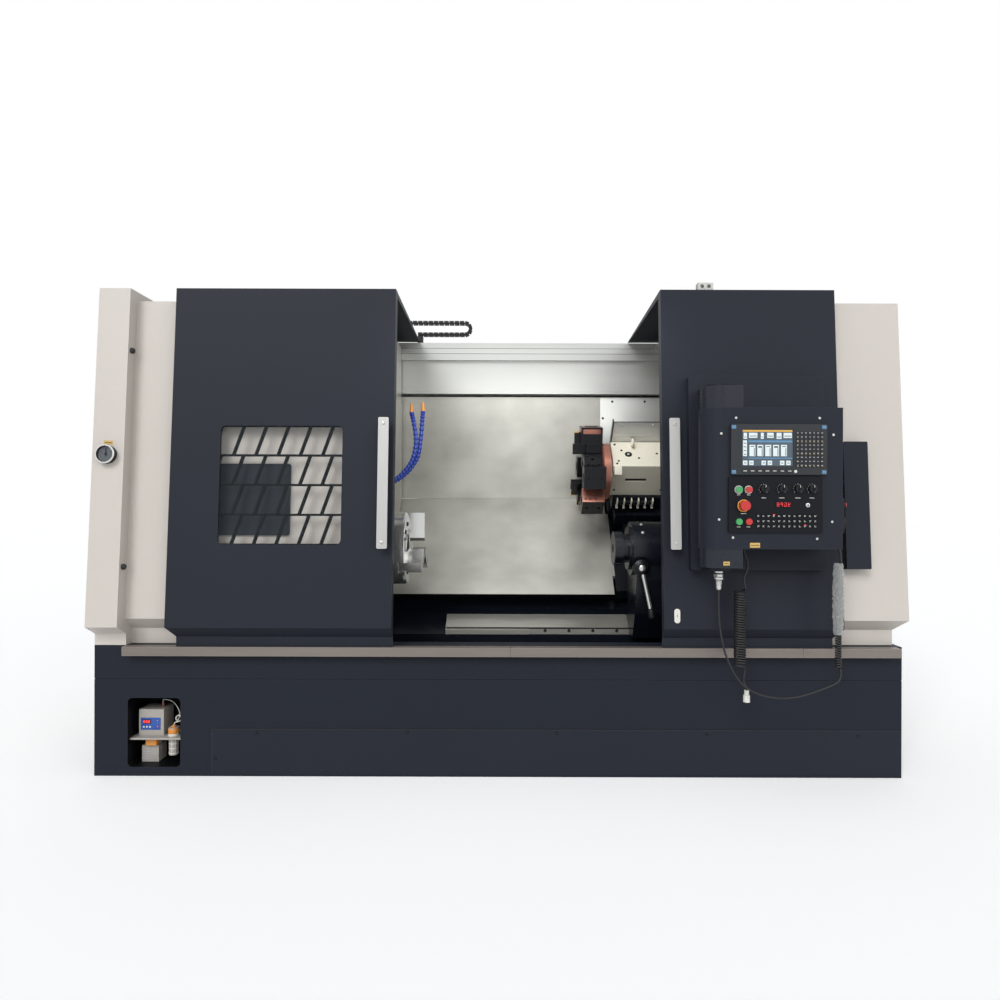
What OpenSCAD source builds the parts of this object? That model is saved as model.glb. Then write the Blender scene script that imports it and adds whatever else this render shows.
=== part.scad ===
// Slant-bed turning lathe with sliding double doors and a swivelling control pendant.
// +X runs along the machine to the right, +Y to its back, +Z up. Origin: middle of the base, on the floor.

/* [Base] */
// Length of the base
base_len = 3600; // [3400:10:3800]
// Depth of the base
base_depth = 1900; // [1800:10:2000]
// Height of the base
base_h = 584; // [560:1:600]
// Sheet thickness of the base
base_wall = 8; // [6:1:12]
// Height of the panel joint in the front of the base
seam_z = 432; // [420:1:450]
// Distance of the kick panel from the base's left end
kick_in = 527; // [500:1:560]
// Height of the kick panel's upper edge
kick_top = 210; // [180:1:230]
// Thickness of the kick panel
kick_t = 4; // [3:0.5:6]
// Distance of the lubricator recess's middle from the base's left end
recess_in = 266; // [255:1:280]
// Width of the lubricator recess
recess_w = 236; // [220:1:250]
// Lower edge of the lubricator recess
recess_z = 40; // [30:1:60]
// Height of the lubricator recess
recess_h = 308; // [296:1:320]
// Depth of the lubricator recess
recess_depth = 200; // [180:1:220]
// Corner radius of the lubricator recess
recess_r = 20; // [12:1:30]

/* [Front enclosure] */
// Height of the doors' lower front edge
front_foot_z = 675; // [660:1:690]
// Height of the doors' upper front edge
door_top_z = 2185; // [2150:1:2220]
// How far the lower front edge stands out before the base
front_overhang = 80; // [72:1:90]
// How far the front leans back from its lower to its upper edge
lean_run = 112; // [100:1:125]
// How far the fixed panels lie behind the doors' front
panel_setback = 68; // [66:1:80]
// How far the fixed panels end below the doors
panel_drop = 42; // [38:1:50]
// Sheet thickness of doors and panels
sheet = 3; // [2:0.5:4]
// Depth of the doors' folded edges
door_depth = 50; // [40:1:56]
// Fall of the hoods from front to back
hood_fall = 38; // [30:1:45]
// How far back the hoods reach, from the base's front
hood_back = 940; // [920:1:960]
// Width of the left end cover
end_w = 140; // [120:1:150]
// Depth of the left end cover
end_depth = 230; // [200:1:250]
// Distance of the left door from the base's left end
ldoor_in = 347; // [320:1:360]
// Width of the left door
ldoor_w = 988; // [970:1:1000]
// Distance of the right door's left edge from the base's right end
rdoor_in = 1075; // [1060:1:1085]
// Width of the right door
rdoor_w = 783; // [770:1:790]
// Distance of the left fixed panel's inner end from the base's left end
lpanel_in = 1225; // [1210:1:1235]
// Distance of the right fixed panel's inner end from the base's right end
rpanel_in = 930; // [910:1:950]
// How far the enclosure stands over the base's right end
right_over = 28; // [15:1:35]
// Height of the sheet step below the fixed panels
panel_step_z = 652; // [640:1:660]

/* [Door fittings] */
// Distance of the window from the door's left edge
window_in = 219; // [210:1:230]
// Width of the window
window_w = 541; // [520:1:560]
// Lower edge of the window, up the door from its foot
window_z = 362; // [350:1:375]
// Height of the window
window_h = 528; // [510:1:545]
// Thickness of the window pane
pane_t = 6; // [4:0.5:8]
// Rows of the window lattice
lattice_rows = 4; // [3:1:5]
// Spacing of the slanted lattice bars
lattice_pitch = 99; // [85:1:110]
// Distance of the first slanted lattice bar from the window's left edge
lattice_in = 48; // [30:1:60]
// Width of a level lattice bar
lattice_bar = 10; // [7:0.5:12]
// Width of a slanted lattice bar, along the window
lattice_slat = 16; // [12:0.5:20]
// Lean of the slanted lattice bars in degrees
lattice_lean = 19; // [15:1:28]
// Length of a door handle
handle_len = 575; // [540:1:600]
// Width of a door handle's bar
handle_w = 45; // [36:1:52]
// Thickness of a door handle's bar
handle_t = 9; // [6:1:14]
// Clear space behind a handle
handle_gap = 42; // [35:1:50]
// Lower end of the handles, up the door from its foot
handle_z = 345; // [330:1:360]

/* [Bed and ways] */
// Slant of the bed in degrees
slant = 47; // [45:0.5:50]
// Lower edge of the slanted guard behind the base's front
guard_back = 500; // [495:1:510]
// Height of the guard's lower edge
guard_z = 756; // [745:1:765]
// Length of the guard up the slant
guard_len = 676; // [660:1:690]
// Spindle axis behind the base's front
axis_back = 300; // [294:1:306]
// Height of the spindle axis
axis_z = 1004; // [996:1:1012]
// Front of the tailstock way behind the base's front
way_front = 416; // [410:1:422]
// Depth of the tailstock way
way_w = 89; // [80:1:92]
// Height of the way's lower front edge
way_z = 565; // [560:1:570]
// Rise of the way to the back
way_rise = 51; // [45:1:56]
// Thickness of the way
way_t = 36; // [30:1:40]
// Distance of the tailstock way from the base's left end
way_in = 1531; // [1510:1:1550]

/* [Spindle and chuck] */
// Radius of the spindle in its bearings
spindle_r = 80; // [75:0.5:85]
// Bore of the spindle and chuck, as a radius
bore_r = 46; // [40:0.5:48]
// Clearance between the inner wall and the chuck
chuck_gap = 3; // [2:0.5:5]
// Length of the chuck body
chuck_len = 119; // [110:1:125]
// Radius of the chuck
chuck_r = 175; // [170:1:180]
// Height of the jaws in front of the chuck
jaw_h = 82; // [70:1:88]
// Width of a jaw
jaw_w = 44; // [38:0.5:48]

/* [Turret and tailstock] */
// Distance of the turret's axis from the spindle's, up the slant
turret_reach = 535; // [530:1:545]
// Distance of the turret disc's left face from the base's right end
disc_in = 1263; // [1256:1:1270]
// Thickness of the turret disc
disc_t = 38; // [34:1:42]
// Tool stations on the turret
stations = 8; // [8:1:8]
// Turn of the first tool station from upright in degrees
turret_turn = 11; // [0:1:22]
// Radius of the turret disc
disc_r = 150; // [144:1:154]
// Length of a tool block before the disc
block_len = 112; // [104:1:118]
// Width of a tool block
block_w = 112; // [100:1:116]
// Height of a tool block
block_h = 88; // [80:1:94]
// Distance of the tailstock body's left end from the base's right end
tail_in = 1150; // [1140:1:1154]
// Length of the tailstock body
tail_len = 430; // [400:1:450]
// Radius of the tailstock barrel
barrel_r = 130; // [124:1:134]
// Radius of the quill
quill_r = 70; // [64:0.5:74]

/* [Pendant] */
// Distance of the pendant's swivel axis from the right door's left edge
pend_in = 199; // [195:1:205]
// Swivel axis of the pendant before the base's front
pend_fwd = 205; // [203:1:212]
// Half depth of the pendant box
pend_r = 85; // [80:1:86]
// Width of the pendant box
pend_w = 565; // [555:1:572]
// Lower edge of the pendant box
pend_z = 1036; // [1030:1:1040]
// Height of the pendant box
pend_h = 577; // [570:1:585]
// Lower end of the pendant's post
post_z = 958; // [952:1:964]
// Height of the pendant's post
post_h = 745; // [740:1:755]
// Radius of the swivel pins
pin_r = 30; // [26:0.5:34]

/* [Hidden] */
$fn = 64;
RUN = 0.3;
FIT = 0.05;
front = -base_depth / 2;
back = base_depth / 2;
left = -base_len / 2;
right = base_len / 2;
kick_x = left + kick_in;
recess_x = left + recess_in;
ldoor_x = left + ldoor_in;
rdoor_x = right - rdoor_in;
lpanel_end = left + lpanel_in;
rpanel_x = right - rpanel_in;
right_end = right + right_over;
window_x = ldoor_x + window_in;
way_x = left + way_in;
wall_t = 10;
chuck_x = lpanel_end + wall_t + chuck_gap;
disc_x = right - disc_in;
tail_x = right - tail_in;
pend_x = rdoor_x + pend_in;
bed_x0 = left + 650;
bed_x1 = right - 150;
head_x0 = left + 470;
head_x1 = lpanel_end - 25;
lean = atan(lean_run / (door_top_z - front_foot_z));
foot_y = front - front_overhang;
top_y = foot_y + lean_run;
panel_top = door_top_z - panel_drop;
skirt_y = foot_y + 50;
skirt_z = front_foot_z - 47;
rail_w = 45;
rail_h = 40;
axis_y = front + axis_back;
guard_y = front + guard_back;
turret_y = axis_y + turret_reach * cos(slant);
turret_z = axis_z + turret_reach * sin(slant);
turret_s = slant_s(turret_y, turret_z);
turret_p = slant_p(turret_y, turret_z);
guard_top_y = guard_y + guard_len * cos(slant);
guard_top_z = guard_z + guard_len * sin(slant);
lintel_y = front + hood_back - 10;
lintel_top = door_top_z - hood_fall - 8;
lintel_z = lintel_top - 291;
rail_foot = lintel_top - 97;
rail_tread = 12;
roof_rear = panel_top - hood_fall;
hood_y = front + hood_back;
pend_y = front - pend_fwd;
pend_front = pend_y - pend_r;
chuck_face = chuck_x + chuck_len;
ldoor_end = ldoor_x + ldoor_w;
rdoor_end = rdoor_x + rdoor_w;

cream = "#d9d2c8";
navy = "#30363d";
steel = "#b9b6ae";
stainless = "#c4c3bb";
iron = "#2a2e33";
black = "#151618";

function slant_s(y, z) = (y - guard_y) * cos(slant) + (z - guard_z) * sin(slant);
function slant_p(y, z) = (z - guard_z) * cos(slant) - (y - guard_y) * sin(slant);
function door_y(z) = foot_y + lean_run * (z - front_foot_z) / (door_top_z - front_foot_z);
function panel_y(z) = door_y(z) + panel_setback;

// A profile of [y, z] points drawn along X
module prism_x(x0, x1, points) {
    translate([x0, 0, 0])
        rotate([90, 0, 90])
            linear_extrude(x1 - x0)
                polygon(points);
}

// A profile of [x, z] points drawn along Y
module prism_y(y0, y1, points) {
    translate([0, y1, 0])
        rotate([90, 0, 0])
            linear_extrude(y1 - y0)
                polygon(points);
}

module bar_x(x0, x1, y, z, r) {
    translate([x0, y, z])
        rotate([0, 90, 0])
            cylinder(h = x1 - x0, r = r);
}

module bar_y(y0, y1, x, z, r) {
    translate([x, y1, z])
        rotate([90, 0, 0])
            cylinder(h = y1 - y0, r = r);
}

module block(low, high) {
    translate(low)
        cube(high - low);
}

// A flat rectangle with round corners, its lower left corner at the origin
module round_rect(w, h, r) {
    translate([r, 0])
        square([w - 2 * r, h]);
    translate([0, r])
        square([w, h - 2 * r]);
    for (x = [r, w - r], y = [r, h - r])
        translate([x, y])
            circle(r);
}

// A round-cornered plate that faces -Y
module plate_y(x, z, w, h, r, y0, y1) {
    translate([x, y1, z])
        rotate([90, 0, 0])
            linear_extrude(y1 - y0)
                round_rect(w, h, r);
}

// Places children on the leaning front: local X along the machine, Z up the door, Y into the machine
module on_door() {
    translate([0, foot_y, front_foot_z])
        rotate([-lean, 0, 0])
            children();
}

// Places children on the slanted bed: local Y up the slant, Z out of the bed
module on_slant() {
    translate([0, guard_y, guard_z])
        rotate([slant, 0, 0])
            children();
}

module recess_shape(y0, y1, grow) {
    plate_y(recess_x - recess_w / 2 - grow, recess_z - grow, recess_w + 2 * grow, recess_h + 2 * grow,
        recess_r + grow, y0, y1);
}

module base_frame() {
    rim = 95;
    groove = 4;
    color(navy)
        difference() {
            union() {
                difference() {
                    block([left, front, 0], [right, back, base_h]);
                    block([left + base_wall, front + base_wall, base_wall],
                        [right - base_wall, back - base_wall, base_h - base_wall]);
                    block([left + rim, front + rim, base_wall * 2], [right - rim, back - rim, base_h + 1]);
                }
                recess_shape(front + base_wall / 2, front + recess_depth + sheet, sheet);
            }
            recess_shape(front - 1, front + recess_depth, 0);
            block([left - 1, front - 1, seam_z], [right + 1, front + groove, seam_z + groove]);
        }
}

module kick_panel() {
    color(navy)
        block([kick_x, front - kick_t, 14], [right - 6, front, kick_top]);
}

// The lower door guide in three butted lengths
module door_rail() {
    ends = [left + 143, 55, right - 456, right - 25];
    joint = 1;
    color(steel)
        for (i = [0 : 2])
            difference() {
                block([ends[i] + joint, front - rail_w, base_h - rail_h],
                    [ends[i + 1] - joint, front, base_h]);
                block([ends[i], front - rail_w + 5, base_h - rail_h - 1],
                    [ends[i + 1], front - 8, base_h - 6]);
            }
}

module bed_casting() {
    wall = 65;
    x0 = bed_x0;
    x1 = bed_x1;
    face = -130;
    low = [guard_y - face * sin(slant), guard_z + face * cos(slant)];
    high = low + guard_len * [cos(slant), sin(slant)];
    toe = front + way_front;
    heel = toe + way_w;
    rear = front + 1450;
    rail = 45;
    color(iron) {
        difference() {
            prism_x(x0, x1, [[toe, base_wall], [toe, way_z], [heel, way_z + way_rise], low, high,
                [high[0] + 145, high[1]], [rear, 700], [rear, base_wall]]);
            prism_x(x0 + wall, x1 - wall, [[toe + wall, base_wall - 1], [toe + wall, way_z - 30],
                [low[0] + 10, low[1] - wall], [high[0] + 10, high[1] - wall],
                [high[0] + 115, high[1] - wall], [rear - wall, 690], [rear - wall, base_wall - 1]]);
        }
        on_slant()
            for (s = [80, 540])
                block([x0, s, face], [x1, s + rail, face + rail]);
    }
}

module tailstock_way() {
    toe = front + way_front;
    heel = toe + way_w;
    hole_pitch = 120;
    step = 8;
    x1 = right - 200;
    step_end = way_x + 419;
    color(steel)
        difference() {
            union() {
                prism_x(way_x, x1, [[toe, way_z], [toe, way_z + way_t], [heel, way_z + way_rise + way_t],
                    [heel, way_z + way_rise]]);
                block([way_x, toe - step, way_z], [step_end, toe, way_z + 25]);
            }
            for (x = [step_end + 80 : hole_pitch : x1 - 60])
                bar_y(toe - 1, toe + 12, x, way_z + way_t / 2, 7);
        }
}

module headstock() {
    x0 = head_x0;
    x1 = head_x1;
    housing_r = 215;
    color(iron)
        difference() {
            union() {
                bar_x(x0, x1, axis_y, axis_z, housing_r);
                block([x0, axis_y - 190, base_wall], [x1, front + way_front, axis_z]);
            }
            block([x0 + 60, axis_y - 130, base_wall - 1],
                [x1 - 60, front + way_front - 60, axis_z - housing_r - 70]);
            bar_x(x0 - 1, x1 + 1, axis_y, axis_z, spindle_r + FIT);
        }
}

// Stainless wall between the headstock and the work space
module inner_wall() {
    t = wall_t;
    lift = 18;
    edge = lintel_y - 10;
    a = [guard_y - lift * sin(slant), guard_z + lift * cos(slant)];
    b = a + (guard_len - 8) * [cos(slant), sin(slant)];
    inside = sheet + 1;
    color(stainless)
        difference() {
            prism_x(lpanel_end, lpanel_end + t, [
                [panel_y(panel_step_z) + 62 + inside, base_h],
                    [panel_y(panel_step_z) + 62 + inside, panel_step_z + 20],
                [panel_y(720) + inside + 8, 720], [panel_y(panel_top) + inside, panel_top - inside - 6],
                [edge - 20, panel_top - hood_fall - inside - 2], [edge - 20, lintel_z - 60],
                    [b[0] - 20, lintel_z - 60],
                [b[0] - 20, b[1]], a, [a[0] - 10, a[1] - 60], [front + way_front - 6, base_h]]);
            bar_x(lpanel_end - 1, lpanel_end + t + 1, axis_y, axis_z, 130);
        }
}

// Outline of the leaning end cover seen from its side, inset by t
module end_outline(x0, x1, t, open) {
    prism_x(x0, x1, [
        [foot_y + t, front_foot_z + t / 2], [top_y + t, door_top_z - t],
        [top_y + end_depth - t, door_top_z - t], [top_y + end_depth - t, base_h - open],
        [front + t, base_h - open], [front + t, front_foot_z - 41 + t / 2]]);
}

module left_end_cover() {
    color(cream)
        difference() {
            end_outline(left, left + end_w, 0, 0);
            end_outline(left + sheet, left + end_w - sheet, sheet, 1);
        }
}

// The set-back fixed panels with their roof, seen from the side, inset by t
module panel_solid(x0, x1, t, open) {
    step_y = panel_y(front_foot_z + 28);
    rear = lintel_y - rail_tread + open;
    prism_x(x0, x1, [
        [step_y + t, front_foot_z + 28 + t / 2], [panel_y(panel_top) + t, panel_top - t],
        [rear, panel_top - hood_fall - t], [rear, base_h - open],
        [step_y + 62 + t, base_h - open], [step_y + 62 + t, panel_step_z + t / 2]]);
}

module left_front_panel() {
    y0 = top_y + end_depth;
    color(cream) {
        difference() {
            panel_solid(left + end_w, lpanel_end, 0, 0);
            panel_solid(left + end_w - 1, lpanel_end + 1, sheet, 1);
        }
        intersection() {
            block([left + sheet, y0, roof_rear - 20], [left + end_w + 1, lintel_y, panel_top]);
            difference() {
                panel_solid(left, left + end_w + 2, 0, 0);
                panel_solid(left - 1, left + end_w + 3, sheet, 1);
            }
        }
    }
}

// Lift-out cover over the spindle adjustment, with its turn latch
module access_cover() {
    w = 322;
    x = ldoor_x + 195;
    z = 405;
    t = 12;
    color(navy)
        on_door() {
            plate_y(x, z, w, w, 10, panel_setback * cos(lean) - t, panel_setback * cos(lean) - RUN);
            plate_y(x + w - 48, z + w - 62, 24, 30, 6, panel_setback * cos(lean) - t - 4,
                panel_setback * cos(lean) - t);
        }
}

module right_outline(y0, y1, t, x0) {
    side_step = 45;
    prism_y(y0, y1, [[x0, base_h - 2], [right_end - side_step - t, base_h - 2],
        [right_end - side_step - t, panel_step_z + t / 2], [right_end - t, front_foot_z + 28 + t / 2],
        [right_end - t, panel_top + 20], [x0, panel_top + 20]]);
}

module right_end_cover() {
    color(cream)
        difference() {
            intersection() {
                panel_solid(rpanel_x, right_end, 0, 0);
                right_outline(foot_y, hood_y, 0, rpanel_x - 5);
            }
            intersection() {
                panel_solid(rpanel_x - 1, right_end, sheet, 1);
                right_outline(foot_y, hood_y + 5, sheet, rpanel_x - 5);
            }
        }
}

// Cable box on the right end cover, beside the open door
module cable_box() {
    x0 = rdoor_end + 24;
    w = 108;
    z0 = 262;
    h = 566;
    deep = 58;
    color(navy)
        on_door()
            difference() {
                plate_y(x0, z0, w, h, 6, panel_setback * cos(lean) - deep, panel_setback * cos(lean) - RUN);
                plate_y(x0 + sheet, z0 + sheet, w - 2 * sheet, h - 2 * sheet, 4,
                    panel_setback * cos(lean) - deep + sheet, panel_setback * cos(lean) + 1);
            }
}

// Upper beam with three stepped guide rails over the lintel sheet
module lintel_beam() {
    deep = 70;
    tread = rail_tread;
    rise = (lintel_top - rail_foot) / 3;
    y = lintel_y;
    wall = 5;
    x0 = left + sheet;
    x1 = right - sheet;
    color(stainless)
        difference() {
            prism_x(x0, x1, [[y, lintel_z], [y, rail_foot - 6], [y - 2 * tread, rail_foot - 6],
                [y - 2 * tread, rail_foot + rise],
                [y - tread, rail_foot + rise], [y - tread, rail_foot + 2 * rise],
                    [y, rail_foot + 2 * rise], [y, lintel_top],
                [y + deep, lintel_top], [y + deep, lintel_z]]);
            prism_x(x0 - 1, x1 + 1, [[y + wall, lintel_z - 1], [y + wall, lintel_top - wall],
                [y + deep - wall, lintel_top - wall], [y + deep - wall, lintel_z - 1]]);
        }
}

// Sides, back and rear roof, with the electrical cabinet let into the back
cab_x = right - 1950;
cab_w = 1000;
cab_z = base_h + 176;
cab_deep = 260;
cab_head = 151;
rear_top = panel_top - hood_fall - 14;
cab_h = rear_top - cab_head - cab_z;

module rear_cover() {
    y0 = lintel_y + 70;
    vent_w = 260;
    color(cream)
        difference() {
            union() {
                difference() {
                    block([left, top_y + end_depth, base_h], [right, back, rear_top]);
                    block([left + sheet, front, base_h - 1], [right - sheet, back - sheet, rear_top - sheet]);
                    block([left + sheet, front, base_h - 1], [right - sheet, y0, rear_top + 1]);
                    block([right - 200, front, base_h - 1], [right + 1, lintel_y - rail_tread, rear_top + 1]);
                }
                for (z = hinge_z, k = [0, 2]) {
                    bar_z(cab_x, back + knuckle_r, z + k * (knuckle + RUN / 2), z + (k + 1) * knuckle,
                        knuckle_r);
                    block([cab_x - 22, back - 1, z + k * (knuckle + RUN / 2)],
                        [cab_x, back + knuckle_r, z + (k + 1) * knuckle]);
                }
                block([cab_x - sheet, back - cab_deep, cab_z - sheet],
                    [cab_x + cab_w + sheet, back - sheet / 2, cab_z + cab_h + sheet]);
            }
            block([cab_x, back - cab_deep + sheet, cab_z], [cab_x + cab_w, back + 0.01, cab_z + cab_h]);
            for (i = [0 : 11])
                for (x = [left + 550, left + 950])
                    block([x, back - sheet - 1, cab_z + 490 + i * 34],
                        [x + vent_w, back + 1, cab_z + 502 + i * 34]);
        }
}

// Hinges of the cabinet: their knuckles lie outside the back
knuckle_r = 7;
knuckle = 40;
hinge_z = [cab_z + 150, cab_z + cab_h - 270];

module cabinet_door() {
    gap = 2;
    t = 22;
    color(cream) {
        for (z = hinge_z) {
            bar_z(cab_x, back + knuckle_r, z + knuckle + RUN, z + 2 * knuckle, knuckle_r);
            block([cab_x + RUN, back - 1, z + knuckle + RUN],
                [cab_x + 22, back + knuckle_r, z + 2 * knuckle]);
        }
        difference() {
            block([cab_x + RUN, back - t, cab_z + gap], [cab_x + cab_w - gap, back, cab_z + cab_h - gap]);
            block([cab_x + gap + sheet, back - t - 1, cab_z + gap + sheet],
                [cab_x + cab_w - gap - sheet, back - sheet, cab_z + cab_h - gap - sheet]);
            for (i = [0 : 9])
                block([cab_x + 380, back - t, cab_z + 130 + i * 30],
                    [cab_x + 620, back + 1, cab_z + 141 + i * 30]);
        }
    }
}

// Pressure gauge on the left end cover
gauge_x = left + end_w / 2;
gauge_up = 758;
gauge_r = 41;

module at_gauge() {
    on_door()
        translate([gauge_x, 0, gauge_up])
            rotate([90, 0, 0])
                children();
}

module gauge_body() {
    color(black)
        at_gauge()
            difference() {
                cylinder(h = 30, r = gauge_r);
                translate([0, 0, 16])
                    cylinder(h = 20, r = gauge_r - 5);
                translate([0, 0, 8])
                    cylinder(h = 30, r = 2 + FIT);
            }
}

module gauge_needle() {
    color(black)
        at_gauge() {
            translate([0, 0, 8.5])
                cylinder(h = 14, r = 2);
            translate([0, 0, 19])
                cylinder(h = 3, r = 5);
            translate([-1.2, -9, 19.5])
                cube([2.4, 38, 1.5]);
        }
}

// Central lubricator in the recess
shelf_z = recess_z + 115;
lube_x = recess_x - 40;

module bar_z(x, y, z0, z1, r) {
    translate([x, y, z0])
        cylinder(h = z1 - z0, r = r);
}

// Pump on a shelf, with the oil tank on the floor below it and the line filter beside it
module lubricator() {
    pump_w = 112;
    pump_h = 118;
    tank_w = 76;
    tank_h = 74;
    neck_r = 22;
    tank_x = lube_x - 9;
    bowl_x = recess_x + 61;
    bowl_y = front + 62;
    color("#c9cccc") {
        difference() {
            block([lube_x - pump_w / 2, front + 60, shelf_z + 7],
                [lube_x + pump_w / 2, front + 160, shelf_z + 8 + pump_h]);
            block([lube_x - pump_w / 2 + 8, front + 59, shelf_z + 32],
                [lube_x + pump_w / 2 - 14, front + 62, shelf_z + 88]);
        }
        block([recess_x - recess_w / 2, front + 20, shelf_z],
            [recess_x + recess_w / 2, front + recess_depth, shelf_z + 8]);
        block([tank_x - tank_w / 2, front + 70, recess_z],
            [tank_x + tank_w / 2, front + 150, recess_z + tank_h]);
        bar_z(tank_x + 12, front + 110, recess_z + tank_h - 1, shelf_z + 1, neck_r);
        bar_z(bowl_x, bowl_y, shelf_z - 78, shelf_z + 9, 20);
        bar_z(bowl_x, bowl_y, shelf_z + 8, shelf_z + 18, 24);
        bar_z(bowl_x, bowl_y, shelf_z + 17, shelf_z + 46, 22);
    }
}

// Two segmented coolant hoses that rise from a manifold on the inner wall
// Points are [X, Z] from the manifold's face and middle
hose_routes = [
    [[0, 0], [42, 14], [92, 58], [130, 122], [142, 205], [130, 292], [120, 336]],
    [[0, 0], [48, 14], [104, 60], [146, 124], [160, 205], [168, 296], [172, 346]]
];

function route_at(p, u) = let (i = min(floor(u), len(p) - 2), t = u - i, a = p[max(i - 1, 0)], b = p[i],
    c = p[i + 1], d = p[min(i + 2, len(p) - 1)])
    0.5 * (2 * b + (c - a) * t + (2 * a - 5 * b + 4 * c - d) * t * t + (3 * b - a - 3 * c + d) * t * t * t);

module hose(y, z, route, turn) {
    n = 24;
    ball = 12;
    x = lpanel_end + wall_t + 24;
    last = len(route) - 1;
    for (i = [0 : n - 1]) {
        p = route_at(route, last * i / n);
        q = route_at(route, last * (i + 1) / n);
        translate([x + p[0], y + turn * i, z + p[1]])
            rotate([0, atan2(q[0] - p[0], q[1] - p[1]), 0]) {
                cylinder(h = 12, r1 = ball, r2 = ball - 3);
                cylinder(h = norm(q - p) + 2, r = ball - 5);
            }
    }
    translate([x + route[last][0], y + turn * n, z + route[last][1]])
        cylinder(h = 44, r1 = 11, r2 = 6);
}

module coolant_hoses() {
    y = axis_y - 60;
    z = axis_z + 314;
    color("#2f62b0") {
        block([lpanel_end + wall_t, y - 40, z - 30], [lpanel_end + wall_t + 26, y + 75, z + 30]);
        hose(y - 4, z, hose_routes[0], 0.3);
        hose(y + 34, z, hose_routes[1], -0.3);
    }
}

// Cable carrier between the left door and the lintel
chain_r = 33;
chain_end = ldoor_end + 255;

module chain_link(l) {
    gap = 0.4;
    translate([(gap - l) / 2, -20, -11])
        difference() {
            cube([l - gap, 40, 22]);
            translate([-1, 4, 4])
                cube([l + 2, 32, 14]);
        }
}

module drag_chain() {
    pitch = 30;
    y = lintel_y + 40;
    low = lintel_top + 55;
    color(black) {
        for (i = [0 : 8])
            translate([chain_end - pitch * (i + 0.5), y, low])
                chain_link(pitch);
        for (i = [0 : 11])
            translate([chain_end - pitch * (i + 0.5), y, low + 2 * chain_r])
                chain_link(pitch);
        difference() {
            bar_y(y - 20, y + 20, chain_end, low + chain_r, chain_r + 11);
            bar_y(y - 21, y + 21, chain_end, low + chain_r, chain_r - 11);
            block([chain_end - 60, y - 21, low - 20], [chain_end, y + 21, low + 2 * chain_r + 20]);
        }
        block([chain_end - pitch * 9, y - 18, lintel_top], [chain_end - pitch * 8, y + 18, low - 11]);
    }
}

// Outline of a door tray seen from the side, inset by t
module tray_solid(x0, x1, t) {
    deep = door_depth + 45 * t / sheet;
    prism_x(x0, x1, [
        [foot_y + t, front_foot_z + t / 2], [top_y + t, door_top_z - t], [top_y + deep, door_top_z - t],
        [skirt_y + 4 + deep - door_depth, front_foot_z + 54],
            [skirt_y + 4 + deep - door_depth, skirt_z + t * 1.3],
        [skirt_y + (t > 0 ? 4 : 0), skirt_z + t * 1.3 - (t > 0 ? 3.8 : 0)]]);
}

module side_outline(x0, x1, cut0, cut1, t) {
    run = 30;
    prism_y(foot_y - 5, hood_y, [[x0 + cut0 * run + t, skirt_z - 60], [x1 - cut1 * run - t, skirt_z - 60],
        [x1 - cut1 * run - t, skirt_z + t / 2], [x1 - t, front_foot_z + t / 2], [x1 - t, door_top_z + 20],
        [x0 + t, door_top_z + 20], [x0 + t, front_foot_z + t / 2], [x0 + cut0 * run + t, skirt_z + t / 2]]);
}

// Pressed door tray with its skirt, hood and hood flanges
module door_shell(x0, x1, cut0, cut1) {
    flange = 26;
    run = 30;
    difference() {
        intersection() {
            tray_solid(x0, x1, 0);
            side_outline(x0, x1, cut0, cut1, 0);
        }
        intersection() {
            tray_solid(x0, x1, sheet);
            side_outline(x0, x1, cut0, cut1, sheet);
        }
    }
    block([x0 + cut0 * run, skirt_y, base_h + RUN], [x1 - cut1 * run, skirt_y + 4, skirt_z + 1]);
    hood = [[top_y + 10, door_top_z - sheet], [top_y + 10, door_top_z], [hood_y, door_top_z - hood_fall],
        [hood_y, door_top_z - hood_fall - sheet]];
    prism_x(x0, x1, hood);
    for (x = [x0, x1 - sheet])
        prism_x(x, x + sheet, [[top_y + 20, door_top_z - flange], [top_y + 20, door_top_z - 1],
            [hood_y, door_top_z - hood_fall - 1], [hood_y, door_top_z - hood_fall - 4], [hood_y - 200,
            door_top_z - hood_fall - 4]]);
}

module left_door_panel() {
    arm_x = chain_end - 360;
    color(navy) {
        difference() {
            door_shell(ldoor_x, ldoor_end, 1, 0);
            on_door()
                plate_y(window_x, window_z, window_w, window_h, 24, -5, sheet + 5);
        }
        prism_x(arm_x - 24, arm_x, [[hood_y - 30, door_top_z - hood_fall - 1],
            [hood_y - 30, lintel_top + 121],
            [lintel_y + 58, lintel_top + 121], [lintel_y + 58, lintel_top + 112],
                [hood_y - 22, lintel_top + 112],
            [hood_y - 22, door_top_z - hood_fall - 1]]);
    }
}

module left_door_window() {
    lap = 18;
    color("#bcd0d4")
        on_door()
            plate_y(window_x - lap, window_z - lap, window_w + 2 * lap, window_h + 2 * lap, 20,
                sheet + 0.1, sheet + 0.1 + pane_t);
}

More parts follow.
